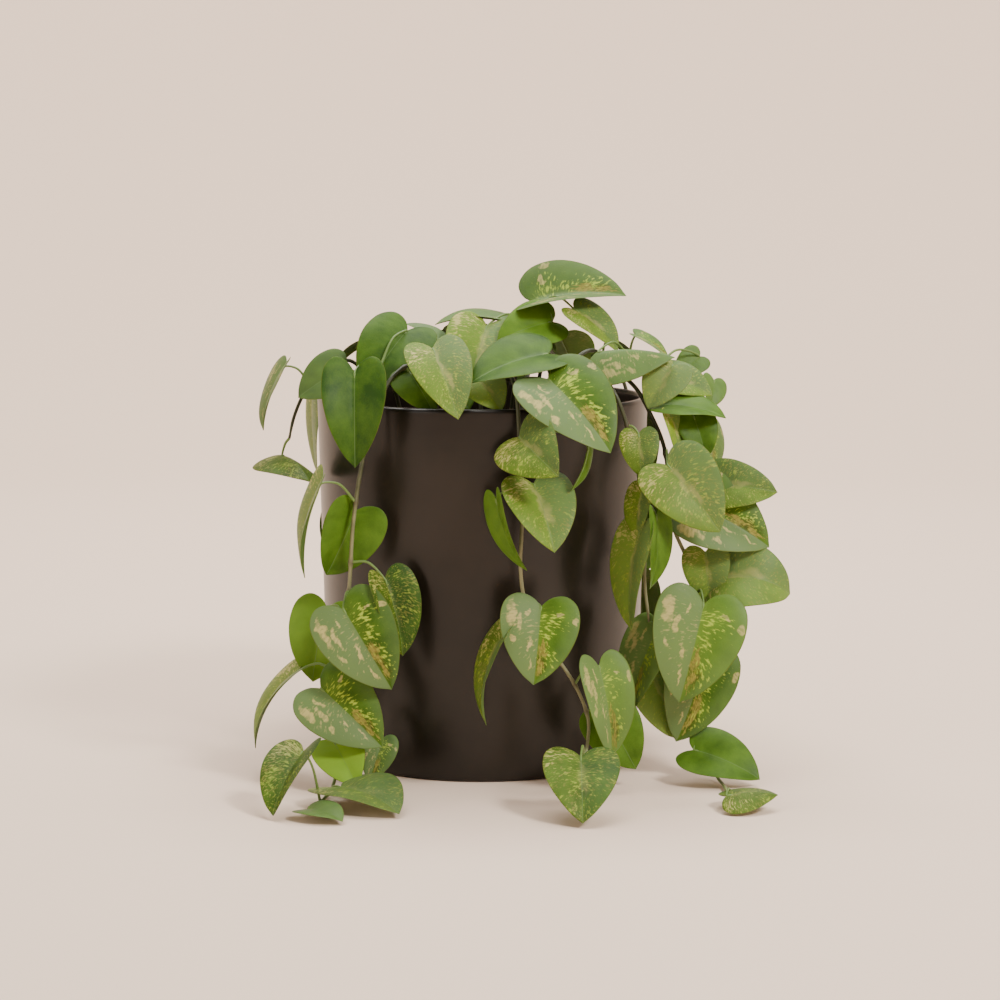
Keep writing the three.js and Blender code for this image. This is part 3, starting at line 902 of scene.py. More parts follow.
@dataclass(frozen=True)
class Blade:
    """The surface of one leaf."""

    leaf: Leaf
    seed: int
    form: BladeForm = BladeForm()

    def frame(self) -> tuple[Array, Array, Array, Array, float]:
        """How the blade lies.

        Returns:
            Its start, the directions of its chord, its upper face and its side, and its length along the
            arch: the chord's, times half the arch over the sine of half the arch.
        """
        leaf = self.leaf
        start = metres(leaf.base)
        chord = metres(leaf.tip) - start
        span = float(np.linalg.norm(chord))
        chord = chord / span
        heading, rise = radians(leaf.turn), radians(leaf.rise)
        face = np.array([sin(heading) * cos(rise), -cos(heading) * cos(rise), sin(rise)])
        face = unit(face - (face @ chord) * chord)
        return start, chord, face, np.cross(chord, face), span * (leaf.arch / 2) / sin(leaf.arch / 2)

    def places(self, across: Array, along: Array, lift: Array) -> Array:
        """Places on the blade.

        The halves rise from the midrib by the fold, rounded off at the crease, and droop again by the sag
        times the square of the reach. The midrib then bends on an arc whose chord joins base and tip.

        Args:
            across: To the side, in leaf lengths.
            along: Along the midrib, in leaf lengths.
            lift: Above the middle of the blade, in metres.

        Returns:
            The places, with one more axis for X, Y and Z.
        """
        start, chord, face, side, length = self.frame()
        leaf = self.leaf
        slope, crease = radians(leaf.fold), self.form.crease * length
        reach = across * leaf.wide * length
        raised = sin(slope) * (np.hypot(reach, crease) - crease)
        radius = length / leaf.arch
        bent = radius + raised - leaf.sag * reach**2 / length + lift
        angle = leaf.arch * (along - 0.5)
        forward = bent * np.sin(angle) + radius * sin(leaf.arch / 2)
        above = bent * np.cos(angle) - radius * cos(leaf.arch / 2)
        sideways = cos(slope) * reach
        return start + sideways[..., None] * side + forward[..., None] * chord + above[..., None] * face

    def grid(self) -> tuple[Array, Array, Array, Array]:
        """The blade laid flat.

        Each row is ruled from a place on the midrib to a place on the outline and bowed like a side vein:
        the midrib place goes as a power of the outline place, so that the rows fan out at the base.

        Returns:
            Across and along in leaf lengths, then the way out from the midrib, -1 to 1, and the row, 0 to
            1, each with a row for each vein-like line.
        """
        form = self.form
        row = np.concatenate([[0.0], np.linspace(form.rim / 3, 1 - form.rim / 3, form.rows), [1.0]])
        half = np.concatenate([np.linspace(0, 1 - form.rim, form.columns), [1.0]])
        out = np.concatenate([-half[:0:-1], half])[None, :]
        edge = smooth_path(form.outline, form.outline_points)
        travelled = np.linspace(0, 1, len(edge))
        edge_across, edge_along = (np.interp(row, travelled, part)[:, None] for part in edge.T)
        row = row[:, None]
        rib, way = row**form.fan, np.abs(out)
        across = np.sign(out) * edge_across * way
        along = rib + (edge_along - rib) * way - form.bow * np.sin(pi * way) * np.sin(pi * row)
        return across, along, np.broadcast_to(out, across.shape), np.broadcast_to(row, across.shape)

    def relief(self, out: Array, row: Array) -> Array:
        """How far the tissue stands off the plain surface.

        A slow wave along each edge grows with the square of the way out. Between the side veins the blade
        is quilted: it swells as the sine of the row, and not at the midrib or the edge.

        Args:
            out: The way out from the midrib, -1 to 1.
            row: The row, 0 to 1.

        Returns:
            The relief at each place, in metres.
        """
        form, draw = self.form, np.random.default_rng(self.seed)
        cycles, phases = draw.uniform(*form.waves_an_edge, 2), draw.uniform(0, 1, 2)
        height = draw.uniform(*form.waviness, 2)
        on_right = (out > 0).astype(int)
        turns = cycles[on_right] * row + phases[on_right]
        wave = height[on_right] * out**2 * np.sin(2 * pi * turns) * np.sin(pi * row) ** 0.5
        swell = np.abs(np.sin(pi * form.side_veins * row)) ** 0.8 - form.quilt_level
        quilt = form.quilting * swell * np.sin(pi * np.abs(out)) * np.sin(pi * row)
        return (wave + quilt) * self.frame()[-1]

    def shell(self) -> Shell:
        """The blade as a closed sheet, thin towards its edge, where both faces share their points.

        Returns:
            The shell, with all the layers that the leaf finish reads.
        """
        across, along, out, row = self.grid()
        relief, half = self.relief(out, row), self.form.thickness / 2 * np.sqrt(1 - out**8)
        faces = [self.places(across, along, relief + lift).reshape(-1, 3) for lift in (half, -half)]
        top = np.arange(across.size).reshape(across.shape)
        top[0], top[-1] = top[0, 0], top[-1, 0]
        bottom = top.copy()
        bottom[1:-1, 1:-1] += across.size
        triangles = np.concatenate([grid_triangles(top), grid_triangles(bottom)[:, ::-1]])
        used, numbers = np.unique(triangles, return_inverse=True)
        zero = np.zeros_like(across)
        flat = np.stack([-across, along, zero], axis=-1).reshape(-1, 3)
        veins = np.stack([-out, row, zero], axis=-1).reshape(-1, 3)
        leaf = self.leaf
        return Shell(np.concatenate(faces)[used], numbers.reshape(-1, 3)).storing(
            leaf_place=np.concatenate([flat, flat])[used],
            vein_place=np.concatenate([veins, veins])[used],
            below=used >= across.size,
            seed=self.seed * self.form.seed_step,
            halved=leaf.kind is HALVED,
            flecked=leaf.kind is FLECKED,
            tone=leaf.tone,
            pale=leaf.pale,
        )

    def rib(self, depth: Array, share: Array) -> Array:
        """Places along the midrib, at depths below the blade and shares of its length."""
        return self.places(np.zeros_like(share), share, -depth)


# ---------------- leafy stems


@dataclass(frozen=True)
class Vine:
    """One leafy stem: its root in the soil and the points that it passes through, in millimetres, and its
    leaves."""

    name: str
    stem: tuple[tuple[float, ...], ...]
    leaves: tuple[Leaf, ...]


@dataclass
class VineBuilder:
    """Makes the stem and the blades of a vine. Each stem starts below the soil, at the root heights, which
    are in millimetres like the points that follow them."""

    vine: Vine
    first_seed: int
    root_heights: tuple[float, ...] = (246, 262, 282)
    length_samples: int = 400
    crown_height: float = 0.36
    stem_thick: float = 0.0019
    stem_thin: float = 0.0013
    stem_end: float = 0.0008
    stem_sides: int = 12
    tip_length: float = 0.012
    joint_step: float = 0.024
    rings_a_joint: int = 14
    first_joint: int = 2
    joint_swell: float = 0.42
    joint_width: float = 0.0028
    petiole_start: float = 0.0012
    petiole_end: float = 0.0008
    petiole_lift: float = 0.22
    petiole_sunk: float = 0.003
    petiole_rings: int = 22
    petiole_sides: int = 9
    knee_place: float = 0.93
    knee_swell: float = 0.25
    knee_width: float = 0.05
    rib_rings: int = 16
    rib_share: float = 0.97
    rib_start: float = 0.00064
    rib_thinning: float = 0.85
    rib_cover: float = 0.0001

    def line(self) -> Array:
        """The stem's knots: down in its hole in the soil, then through its own points."""
        root, *points = self.vine.stem
        return metres([*[(*root, height) for height in self.root_heights], *points])

    def joints(self) -> Array:
        """The stem's joints.

        Returns:
            The places where a petiole may leave the stem, evenly spaced.
        """
        knots = self.line()
        steps = np.diff(smooth_path(knots, self.length_samples), axis=0)
        length = float(np.linalg.norm(steps, axis=1).sum())
        return smooth_path(knots, round(length / self.joint_step) + 1)

    def attachment(self, joints: Array, leaf: Leaf) -> int:
        """The number of the joint nearest to a leaf's base, clear of the soil."""
        distances = np.linalg.norm(joints - metres(leaf.base), axis=1)
        return max(int(distances.argmin()), self.first_joint)

    def stem_shell(self) -> Shell:
        """The stem: it thins from the soil to its end, swells at each joint that bears a leaf as a bell
        curve of the distance from it, and closes to a point.

        Returns:
            The shell, with the layers that the stem finish reads.
        """
        joints = self.joints()
        count = (len(joints) - 1) * self.rings_a_joint + 1
        share, spacing = np.linspace(0, 1, count), self.joint_step / self.rings_a_joint
        bearing = np.array([self.attachment(joints, leaf) for leaf in self.vine.leaves])
        away = (np.arange(count)[:, None] - bearing[None, :] * self.rings_a_joint) * spacing
        swell = np.exp(-((away / self.joint_width) ** 2)).max(axis=1)
        radii = self.stem_thick + (self.stem_thin - self.stem_thick) * share
        taper = np.clip((1 - share) * count * spacing / self.tip_length, 0, 1)
        radii = (self.stem_end + (radii - self.stem_end) * taper) * (1 + self.joint_swell * swell)
        shell = tube(smooth_path(self.line(), count), radii, self.stem_sides)
        lowered = np.clip((self.crown_height - shell.points[:, 2]) / self.crown_height, 0, 1)
        shell.layers["along"] = lowered * np.clip(shell.layers["along"] * 4, 0, 1)
        ring = np.concatenate([[0.0], np.repeat(swell, self.stem_sides), [0.0]])
        return shell.storing(petiole=0.0, joint=ring)

    def petiole_shell(self, joints: Array, blade: Blade) -> Shell:
        """A petiole and the midrib that it runs on into: it leaves its joint, arches over to the blade's
        base, where it swells a little, and goes on under the blade, thinning to the tip.

        Args:
            joints: The places of the stem's joints.
            blade: The blade that it bears.

        Returns:
            The shell, with the layers that the stem finish reads.
        """
        start, base = joints[self.attachment(joints, blade.leaf)], metres(blade.leaf.base)
        middle = (start + base) / 2
        middle[2] += self.petiole_lift * float(np.linalg.norm(start - base))
        sunk = self.petiole_sunk / blade.frame()[-1]
        inside = blade.rib(np.zeros(1), np.array([sunk]))[0]
        stalk = smooth_path([start, middle, base, inside], self.petiole_rings)
        shares = np.linspace(sunk, self.rib_share, self.rib_rings)[1:]
        thinning = self.rib_start * (1 - np.linspace(0, self.rib_thinning, self.rib_rings)[1:])
        path = np.vstack([stalk, blade.rib(thinning + self.rib_cover, shares)])
        from_knee = (np.linspace(0, 1, self.petiole_rings) - self.knee_place) / self.knee_width
        down = np.linspace(self.petiole_start, self.petiole_end, self.petiole_rings)
        down = down * (1 + self.knee_swell * np.exp(-from_knee**2))
        shell = tube(path, np.concatenate([down, thinning]), self.petiole_sides)
        return shell.storing(petiole=1.0, joint=0.0)

    def build(self, leaf_skin: Material, stem_skin: Material) -> None:
        """Makes the two objects that stand for the vine's solid.

        Args:
            leaf_skin: The blades' finish.
            stem_skin: The stem's, petioles' and midribs' finish.
        """
        node = f"vine_{self.vine.name}"
        joints = self.joints()
        blades = [Blade(leaf, seed) for seed, leaf in enumerate(self.vine.leaves, self.first_seed)]
        stalks = [self.petiole_shell(joints, blade) for blade in blades]
        Shell.joined([self.stem_shell(), *stalks]).piece(f"{node}_stem", stem_skin, Slot.TISSUE, node)
        leaves = Shell.joined([blade.shell() for blade in blades])
        leaves.piece(f"{node}_leaves", leaf_skin, Slot.TISSUE, node)


# ---------------- pot and soil


@dataclass
class Pot:
    """A slightly flared round pot with a rounded lip and a flat underside."""

    height: float = 0.304
    rim_radius: float = 0.140
    base_radius: float = 0.1325
    wall: float = 0.007
    floor: float = 0.010
    foot_round: float = 0.003
    clear_of_bend: float = 0.006
    clear_of_lip: float = 0.004
    wall_slack: float = 0.0001
    flat_rows: tuple[float, float] = (0.05, 0.12)
    sides: int = 192

    def radius(self, height: float) -> float:
        """The outside radius at a height."""
        return self.base_radius + (self.rim_radius - self.base_radius) * height / self.height

    def profile(self) -> Array:
        """The section.

        Returns:
            Radius and height: flat underside, rounded foot, straight flared wall, half-round lip, inside
            wall and floor, with close rows beside each bend so that the flats stay flat.
        """
        foot, lip = self.foot_round, self.wall / 2
        corner = arc((self.radius(foot) - foot, foot), foot, -90, 0, 8)
        rim = arc((self.rim_radius - lip, self.height - lip), lip, 0, 180, 16)
        heights = np.linspace(self.clear_of_bend, self.height - lip - self.clear_of_lip, 40)
        outside = np.stack([[self.radius(height) for height in heights], heights], axis=1)
        inner = self.wall + self.wall_slack
        inside = outside[::-1] - [inner, 0]
        inside = inside[inside[:, 1] > self.floor + self.clear_of_bend]
        bowl = arc((self.radius(self.floor) - inner - foot, self.floor + foot), foot, 0, -90, 6)
        underside = [(0, 0), *((radius, 0) for radius in self.flat_rows)]
        bottom = [(self.flat_rows[0], self.floor), (0, self.floor)]
        return np.vstack([underside, corner, outside, rim, inside, bowl, bottom])

    def build(self) -> None:
        """Makes the pot."""
        turned(self.profile(), self.sides).piece("glazed_pot", GlazeFinish().material(), Slot.GLAZE, "pot")


@dataclass
class Soil:
    """Potting mix below the rim: a crowned bumpy disc on a plain plug, strewn with crumbs."""

    radius: float = 0.1318
    lower_radius: float = 0.1252
    bottom: float = 0.0104
    top: float = 0.270
    crown: float = 0.006
    level_share: float = 0.6
    bump: float = 0.0022
    bump_sizes: tuple[float, float] = (0.004, 0.040)
    bump_waves: int = 36
    rows: int = 60
    sides: int = 180
    crumbs: int = 620
    crumb_margin: float = 0.006
    crumb_least: float = 0.0011
    crumb_spread: float = 0.0032
    crumb_stretch: tuple[float, float] = (0.55, 1.35)
    crumb_roughness: float = 0.18
    seed: int = 11

    def height(self, places: Array) -> Array:
        """The soil's height: level in the middle, falling straight to the edge, with bumps from 4 to 40 mm
        across.

        Args:
            places: X and Y, a row for each place.

        Returns:
            The height at each place.
        """
        away = np.linalg.norm(places, axis=1) / self.radius
        fall = np.clip((1 - away) / (1 - self.level_share), 0, 1)
        bumps = lumps(places, self.seed, self.bump_waves, *self.bump_sizes)
        return self.top + self.crown * fall + self.bump * bumps

    def body(self) -> Shell:
        """The plug with its bumpy top.

        Returns:
            The shell, with the layer that the soil finish reads.
        """
        disc = np.linspace((self.radius, self.top), (0, self.top), self.rows)
        shell = turned(np.vstack([[(0, self.bottom), (self.lower_radius, self.bottom)], disc]), self.sides)
        on_top = shell.points[:, 2] > self.bottom + 0.01
        shell.points[on_top, 2] = self.height(shell.points[on_top, :2])
        return shell.storing(grain=0.0)

    def strewn(self) -> Shell:
        """The crumbs: rounded lumps, each turned and stretched at random and half sunk in the soil.

        Returns:
            All the crumbs as one shell.
        """
        draw = np.random.default_rng(self.seed)
        corners, faces = ball(1)
        away = (self.radius - self.crumb_margin) * np.sqrt(draw.uniform(0, 1, self.crumbs))
        angle = draw.uniform(0, 2 * pi, self.crumbs)
        places = np.stack([away * np.cos(angle), away * np.sin(angle)], axis=1)
        middles = np.column_stack([places, self.height(places)])
        sizes = self.crumb_least + self.crumb_spread * draw.uniform(0, 1, (self.crumbs, 1, 1)) ** 3
        stretch = draw.uniform(*self.crumb_stretch, (self.crumbs, 1, 3))
        rough = 1 + self.crumb_roughness * draw.normal(size=(self.crumbs, len(corners), 1))
        turns = np.linalg.qr(draw.normal(size=(self.crumbs, 3, 3)))[0]
        lumpy = (corners[None] * rough * stretch * sizes) @ turns
        numbers = faces[None] + (np.arange(self.crumbs) * len(corners))[:, None, None]
        flipped = np.linalg.det(turns) < 0
        numbers[flipped] = numbers[flipped][..., ::-1]
        grain = np.repeat(draw.uniform(0, 1, self.crumbs), len(corners))
        shell = Shell((lumpy + middles[:, None]).reshape(-1, 3), numbers.reshape(-1, 3))
        return shell.storing(grain=grain)

    def build(self) -> None:
        """Makes the soil and its crumbs."""
        finish = SoilFinish().material()
        self.body().piece("soil_body", finish, Slot.SOIL, "soil")
        self.strewn().piece("soil_crumbs", finish, Slot.SOIL, "soil")


def ball(cuts: int) -> tuple[Array, Array]:
    """A unit ball of even triangles: an icosahedron whose faces are each cut in four, several times over.

    Args:
        cuts: How many times the faces are cut.

    Returns:
        Its points and its triangles, facing outwards.
    """
    golden = (1 + 5**0.5) / 2
    signs = np.array([(a, b) for a in (-1, 1) for b in (-golden, golden)])
    flat = np.column_stack([np.zeros(4), signs])
    points = unit(np.vstack([np.roll(flat, turn, axis=1) for turn in range(3)]))
    gaps = np.linalg.norm(points[:, None] - points[None], axis=2)
    near = (gaps > 0.1) & (gaps < 1.2)
    threes = combinations(range(len(points)), 3)
    faces = np.array([(a, b, c) for a, b, c in threes if near[a, b] and near[b, c] and near[a, c]])
    for _ in range(cuts):
        a, b, c = points[faces.T]
        ab, bc, ca = unit(a + b), unit(b + c), unit(c + a)
        pieces = [(a, ab, ca), (ab, b, bc), (ca, bc, c), (ab, bc, ca)]
        loose = np.concatenate([np.stack(piece, axis=1) for piece in pieces]).reshape(-1, 3)
        points, numbers = np.unique(loose.round(9), axis=0, return_inverse=True)
        faces = numbers.reshape(-1, 3)
    a, b, c = points[faces.T]
    inward = np.einsum("ij,ij->i", np.cross(b - a, c - a), a) < 0
    faces[inward] = faces[inward][:, ::-1]
    return points, faces


# ---------------- the stems and their leaves

# In each row the tone is partly the leaf's own shade of green and partly painted light and shade, higher for
# leaves that lie in shadow and lower for brightly lit ones; pale is painted sheen.
VINES = (
    Vine("left_trail", (
        (-38, -56), (-43, -76, 319), (-57, -100, 336), (-71, -113, 328), (-85, -122, 302), (-95, -127, 262),
        (-102, -134, 216), (-106, -134, 160), (-112, -130, 100), (-116, -130, 45), (-117, -138, 14),
        (-119, -156, 3.4), (-122, -184, 2.7), (-126, -208, 2.7), (-131, -228, 2.7),
    ), (
        Leaf((-127, -146, 246), (-141, -140, 169), -80, 10, FLECKED, -0.4, pale=0.4, wide=0.8),
        Leaf((-101, -122, 221), (-125, -124, 169), 25, 8, PLAIN, 0.6, fold=38, wide=1.2, arch=0.35),
        Leaf((-77, -140, 168), (-63, -146, 107), 35, 15, FLECKED, -1.1, fold=32, wide=0.85),
        Leaf((-109, -158, 147), (-71, -166, 84), 0, 15, HALVED, -0.6, wide=0.95),
        Leaf((-128, -152, 82), (-79, -164, 37), 5, 20, HALVED, 0.1),
        Leaf((-80, -138, 38), (-91, -150, 5), 10, 10, HALVED, -0.5, pale=0.3, wide=0.85),
        Leaf((-118, -150, 38), (-98, -178, 8), -10, 40, PLAIN, 1.9),
        Leaf((-110, -190, 11), (-62, -244, 4), 20, 78, FLECKED, -0.8, pale=0.4),
        Leaf((-132, -238, 6), (-104, -262, 3), 0, 82, PLAIN, 0.3, pale=0.5),
        Leaf((-126, -104, 138), (-138, -108, 78), -20, 10, PLAIN, 1.2),
        Leaf((-150, -112, 88), (-185, -114, 24), -82, 20, FLECKED, 0.2, pale=0.2, wide=0.8, arch=0.9),
        Leaf((-138, -208, 44), (-158, -250, 4), -42, 40, FLECKED, -1.1, fold=32, wide=0.9),
        Leaf((-58, -106, 331), (-38, -121, 299), 8, 25, PLAIN, 0.2, wide=1.05),
    )),
    Vine("left_arch", (
        (-88, 6), (-98, 0, 318), (-112, -14, 334), (-130, -30, 328), (-146, -42, 312), (-156, -48, 290),
        (-160, -52, 272),
    ), (
        Leaf((-164, -40, 331), (-182, -46, 278), -75, 10, HALVED, pale=0.5),
        Leaf((-113, -60, 331), (-151, -66, 307), -10, 25, PLAIN, -0.8, pale=0.4),
        Leaf((-148, 44, 302), (-145, 46, 232), -74, 5, FLECKED, -0.4, pale=0.3, fold=8, wide=0.85, arch=0.2),
        Leaf((-166, -52, 258), (-140, -102, 242), 52, 68, FLECKED, -0.8, fold=-18),
    )),
    Vine("left_crown", ((-66, -54), (-72, -66, 314), (-84, -86, 334), (-94, -106, 334)), (
        Leaf((-101, -122, 332), (-100, -142, 258), 0, 20, PLAIN, -0.8, fold=30, wide=0.8),
        Leaf((-61, -60, 362), (-95, -88, 312), -10, 35, PLAIN, -0.4),
    )),
    Vine("centre_crown", ((-22, -52), (-26, -66, 314), (-32, -88, 340)), (
        Leaf((-39, -108, 350), (-18, -149, 297), 5, 40, FLECKED, 0.2, wide=0.8),
        Leaf((-26, -78, 322), (-10, -104, 300), 10, 40, PLAIN, 0.4),
        Leaf((-34, -42, 352), (-64, -34, 366), -20, 75, PLAIN, -0.2, pale=0.8, wide=0.7),
    )),
    Vine("top_back", ((24, 10), (28, 4, 320), (36, -8, 362), (48, -20, 382)), (
        Leaf((4, -38, 364), (-12, -74, 310), 0, 32, FLECKED, 0.6),
        Leaf((43, -21, 384), (120, -30, 389), -5, 60, HALVED, -0.4, pale=0.3, fold=30, sag=0.2),
        Leaf((77, -46, 378), (112, -54, 344), 50, 32, FLECKED, 0.3),
        Leaf((58, -40, 368), (12, -56, 352), 0, 40, PLAIN, 1.0),
        Leaf((20, -6, 367), (-40, -12, 364), 0, 85, PLAIN, pale=0.6),
    )),
    Vine("middle_trail", (
        (16, -66), (20, -88, 318), (24, -118, 328), (28, -140, 314), (30, -148, 285), (32, -150, 250),
        (32, -151, 210), (31, -151, 182), (34, -151, 155), (45, -150, 128), (62, -150, 104), (76, -151, 82),
        (85, -155, 58), (84, -168, 40), (81, -186, 34),
    ), (
        Leaf((41, -158, 247), (57, -194, 198), 15, 35, FLECKED, 0.6),
        Leaf((12, -166, 236), (36, -170, 180), -72, 10, PLAIN, 0.9, wide=0.8),
        Leaf((47, -168, 151), (41, -186, 92), 3, 20, HALVED, 0.4, wide=1.1),
        Leaf((19, -162, 129), (4, -162, 54), -80, 10, FLECKED, -0.4, wide=0.8, arch=0.9),
        Leaf((93, -162, 102), (103, -170, 30), 30, 15, HALVED, 1.0, pale=0.3, fold=26, wide=0.74),
        Leaf((98, -140, 60), (124, -148, 15), 5, 15, PLAIN, 0.6),
        Leaf((77, -226, 44), (77, -272, 4), 0, 44, FLECKED, -0.7, wide=1.05),
        Leaf((-4, -106, 327), (16, -123, 301), 5, 35, FLECKED, 1.6, pale=0.3, wide=1.1),
    )),
    Vine("middle_crown", (
        (42, -62), (46, -80, 320), (50, -104, 338), (56, -128, 328), (60, -146, 306), (60, -152, 288),
    ), (
        Leaf((53, -108, 346), (-9, -130, 324), -15, 60, PLAIN, -0.4),
        Leaf((53, -138, 328), (101, -172, 273), 15, 30, HALVED, -0.4),
        Leaf((30, -156, 284), (60, -200, 258), -41, 32, FLECKED, -0.4),
        Leaf((84, -160, 276), (70, -168, 243), 80, 10, PLAIN, 0.7, wide=0.7),
    )),
    Vine("right_front", (
        (72, -50), (80, -66, 316), (92, -90, 330), (106, -106, 316), (118, -109, 285), (128, -110, 240),
        (132, -112, 200), (132, -112, 160), (136, -112, 128),
    ), (
        Leaf((126, -112, 282), (128, -120, 248), 0, 15, FLECKED, -0.4),
        Leaf((130, -121, 239), (125, -129, 199), -50, 10, FLECKED, 0.6, wide=0.85),
        Leaf((139, -136, 219), (134, -140, 160), 60, 10, PLAIN, 0.4, wide=0.75),
        Leaf((127, -132, 206), (120, -140, 127), -62, 10, FLECKED, 1.2, pale=0.3, wide=0.75),
        Leaf((142, -120, 123), (120, -126, 57), -50, 10, HALVED, 1.2, pale=0.4, wide=0.85),
        Leaf((139, -110, 85), (157, -116, 33), 20, 10, FLECKED, 1.2, pale=0.5),
    )),
    Vine("right_trail", (
        (66, -16), (78, -32, 320), (100, -62, 333), (124, -82, 318), (138, -88, 294), (148, -90, 270),
        (153, -91, 236), (156, -92, 205), (168, -94, 176), (177, -96, 142), (178, -98, 100),
        (178, -100, 60), (184, -110, 24), (190, -128, 6), (194, -150, 2.8), (196, -192, 2.8),
    ), (
        Leaf((149, -124, 258), (190, -140, 206), 5, 15, FLECKED, 0.2, pale=0.2),
        Leaf((187, -84, 237), (241, -92, 232), 10, 30, FLECKED, -0.3, wide=0.9),
        Leaf((169, -92, 224), (234, -100, 188), 15, 25, HALVED, 0.1),
        Leaf((182, -100, 184), (186, -106, 142), -10, 10, FLECKED, 1.0, pale=0.3),
        Leaf((189, -96, 160), (251, -104, 150), 5, 36, FLECKED, 0.8, pale=0.3, arch=2),
        Leaf((178, -134, 147), (158, -146, 69), 3, 15, HALVED, 0.9, pale=0.1),
        Leaf((182, -112, 102), (158, -120, 31), 15, 15, HALVED, -0.1, wide=0.9),
        Leaf((172, -128, 26), (224, -146, 6), 5, 55, PLAIN, 0.4),
        Leaf((190, -221, 12), (230, -218, 12), -10, 74, FLECKED, -0.6, fold=-10),
    )),
    Vine("right_high", ((84, -8), (94, -20, 320), (108, -40, 342), (126, -56, 338), (140, -62, 326)), (
        Leaf((94, -88, 346), (156, -94, 342), 10, 70, HALVED, 0.2, pale=0.5, fold=-30),
        Leaf((127, -54, 358), (154, -58, 338), 60, 40, HALVED, 0.4, pale=0.4, wide=0.7),
        Leaf((155, -88, 335), (134, -100, 301), -10, 15, FLECKED, 0.9, pale=0.6),
        Leaf((182, -24, 338), (160, -32, 322), 10, 30, PLAIN, 0.4, pale=0.4),
    )),
    Vine("right_out", (
        (92, 22), (104, 12, 318), (122, -8, 330), (142, -28, 324), (156, -42, 306), (164, -54, 280),
    ), (
        Leaf((148, -60, 324), (189, -70, 309), 10, 50, FLECKED, 0.4),
        Leaf((192, -46, 320), (188, -60, 298), 30, 20, PLAIN, 0.6, pale=0.4),
        Leaf((146, -86, 303), (198, -94, 293), 5, 70, PLAIN, 0.5),
        Leaf((172, -88, 294), (182, -98, 260), 10, 10, PLAIN),
        Leaf((186, -58, 284), (188, -62, 240), 60, 10, HALVED, 0.3, pale=0.5),
        Leaf((152, -96, 297), (158, -102, 262), 50, 10, FLECKED, 1.3, wide=0.8),
    )),
    Vine("left_side", (
        (-56, 34), (-64, 42, 318), (-84, 56, 336), (-106, 72, 326), (-115, 91, 292), (-118, 95, 245),
        (-120, 98, 200), (-120, 98, 165),
    ), (
        Leaf((-96, 60, 346), (-128, 64, 322), -110, 50, HALVED),
        Leaf((-125, 84, 292), (-131, 88, 236), -119, 12, PLAIN, 0.2, wide=0.85),
        Leaf((-117, 115, 250), (-121, 122, 192), -138, 12, FLECKED),
        Leaf((-126, 95, 196), (-129, 99, 138), -127, 12, HALVED, -0.2, wide=0.85),
        Leaf((-115, 115, 160), (-117, 121, 100), -143, 12, PLAIN, -0.2),
    )),
    Vine("back_left", (
        (-40, 52), (-46, 64, 318), (-56, 92, 336), (-70, 118, 322), (-78, 132, 290), (-82, 138, 240),
        (-84, 140, 190), (-84, 141, 140), (-82, 141, 110),
    ), (
        Leaf((-68, 104, 340), (-88, 138, 294), -155, 35, PLAIN, 0.3),
        Leaf((-98, 150, 258), (-104, 156, 196), -150, 15, HALVED, 0.2),
        Leaf((-72, 154, 228), (-66, 160, 166), -170, 15, FLECKED, -0.2),
        Leaf((-98, 152, 176), (-102, 158, 114), -150, 15, PLAIN),
        Leaf((-64, 158, 138), (-62, 164, 76), -175, 12, HALVED, -0.3),
        Leaf((-92, 156, 104), (-98, 164, 46), -160, 12, FLECKED, 0.3),
    )),
    Vine("back_middle", (
        (-2, 66), (-2, 80, 322), (0, 104, 340), (0, 128, 326), (0, 146, 290), (-2, 150, 240),
        (-4, 150, 210),
    ), (
        Leaf((-20, 58, 350), (-62, 70, 340), -140, 70, HALVED, 0.2),
        Leaf((26, 40, 350), (64, 58, 338), 140, 70, FLECKED, 0.1),
        Leaf((-14, 112, 352), (-22, 148, 310), -170, 40, PLAIN, 0.4, wide=0.85),
        Leaf((20, 122, 342), (26, 156, 290), 170, 35, HALVED, wide=0.85),
        Leaf((-22, 160, 272), (-28, 166, 212), -175, 15, PLAIN, -0.2),
        Leaf((14, 160, 250), (18, 166, 188), 172, 15, HALVED, 0.3),
        Leaf((-8, 162, 204), (-6, 168, 140), 180, 12, FLECKED, -0.1),
    )),
    Vine("back_right", (
        (34, 56), (40, 68, 318), (52, 94, 338), (66, 120, 326), (76, 134, 292), (80, 140, 240),
        (84, 142, 190), (84, 142, 140), (86, 142, 90), (88, 143, 66),
    ), (
        Leaf((68, 104, 346), (84, 140, 302), 160, 40, FLECKED, 0.8),
        Leaf((94, 146, 282), (112, 150, 228), 150, 15, PLAIN, 0.1),
        Leaf((75, 154, 246), (69, 160, 186), 175, 15, HALVED),
        Leaf((102, 152, 200), (110, 158, 140), 150, 15, HALVED, 0.3),
        Leaf((66, 160, 150), (60, 166, 88), 175, 12, PLAIN, -0.3),
        Leaf((106, 154, 112), (112, 160, 52), 155, 12, FLECKED),
        Leaf((84, 160, 64), (86, 172, 8), 170, 20, HALVED, 0.1),
    )),
    Vine("right_side", (
        (60, 30), (70, 38, 318), (92, 50, 338), (114, 64, 326), (128, 74, 294), (132, 78, 245),
        (134, 80, 200), (134, 80, 150),
    ), (
        Leaf((108, 46, 346), (138, 46, 322), 105, 50, PLAIN, 0.3),
        Leaf((136, 62, 282), (144, 64, 228), 110, 12, HALVED, 0.1),
        Leaf((130, 98, 262), (132, 104, 204), 140, 12, FLECKED, -0.2),
        Leaf((140, 72, 212), (146, 74, 156), 112, 12, PLAIN),
        Leaf((132, 98, 180), (132, 104, 122), 140, 12, HALVED, 0.2),
        Leaf((138, 82, 136), (140, 86, 80), 120, 12, FLECKED, 1.2),
    )),
)


# ---------------- the studio


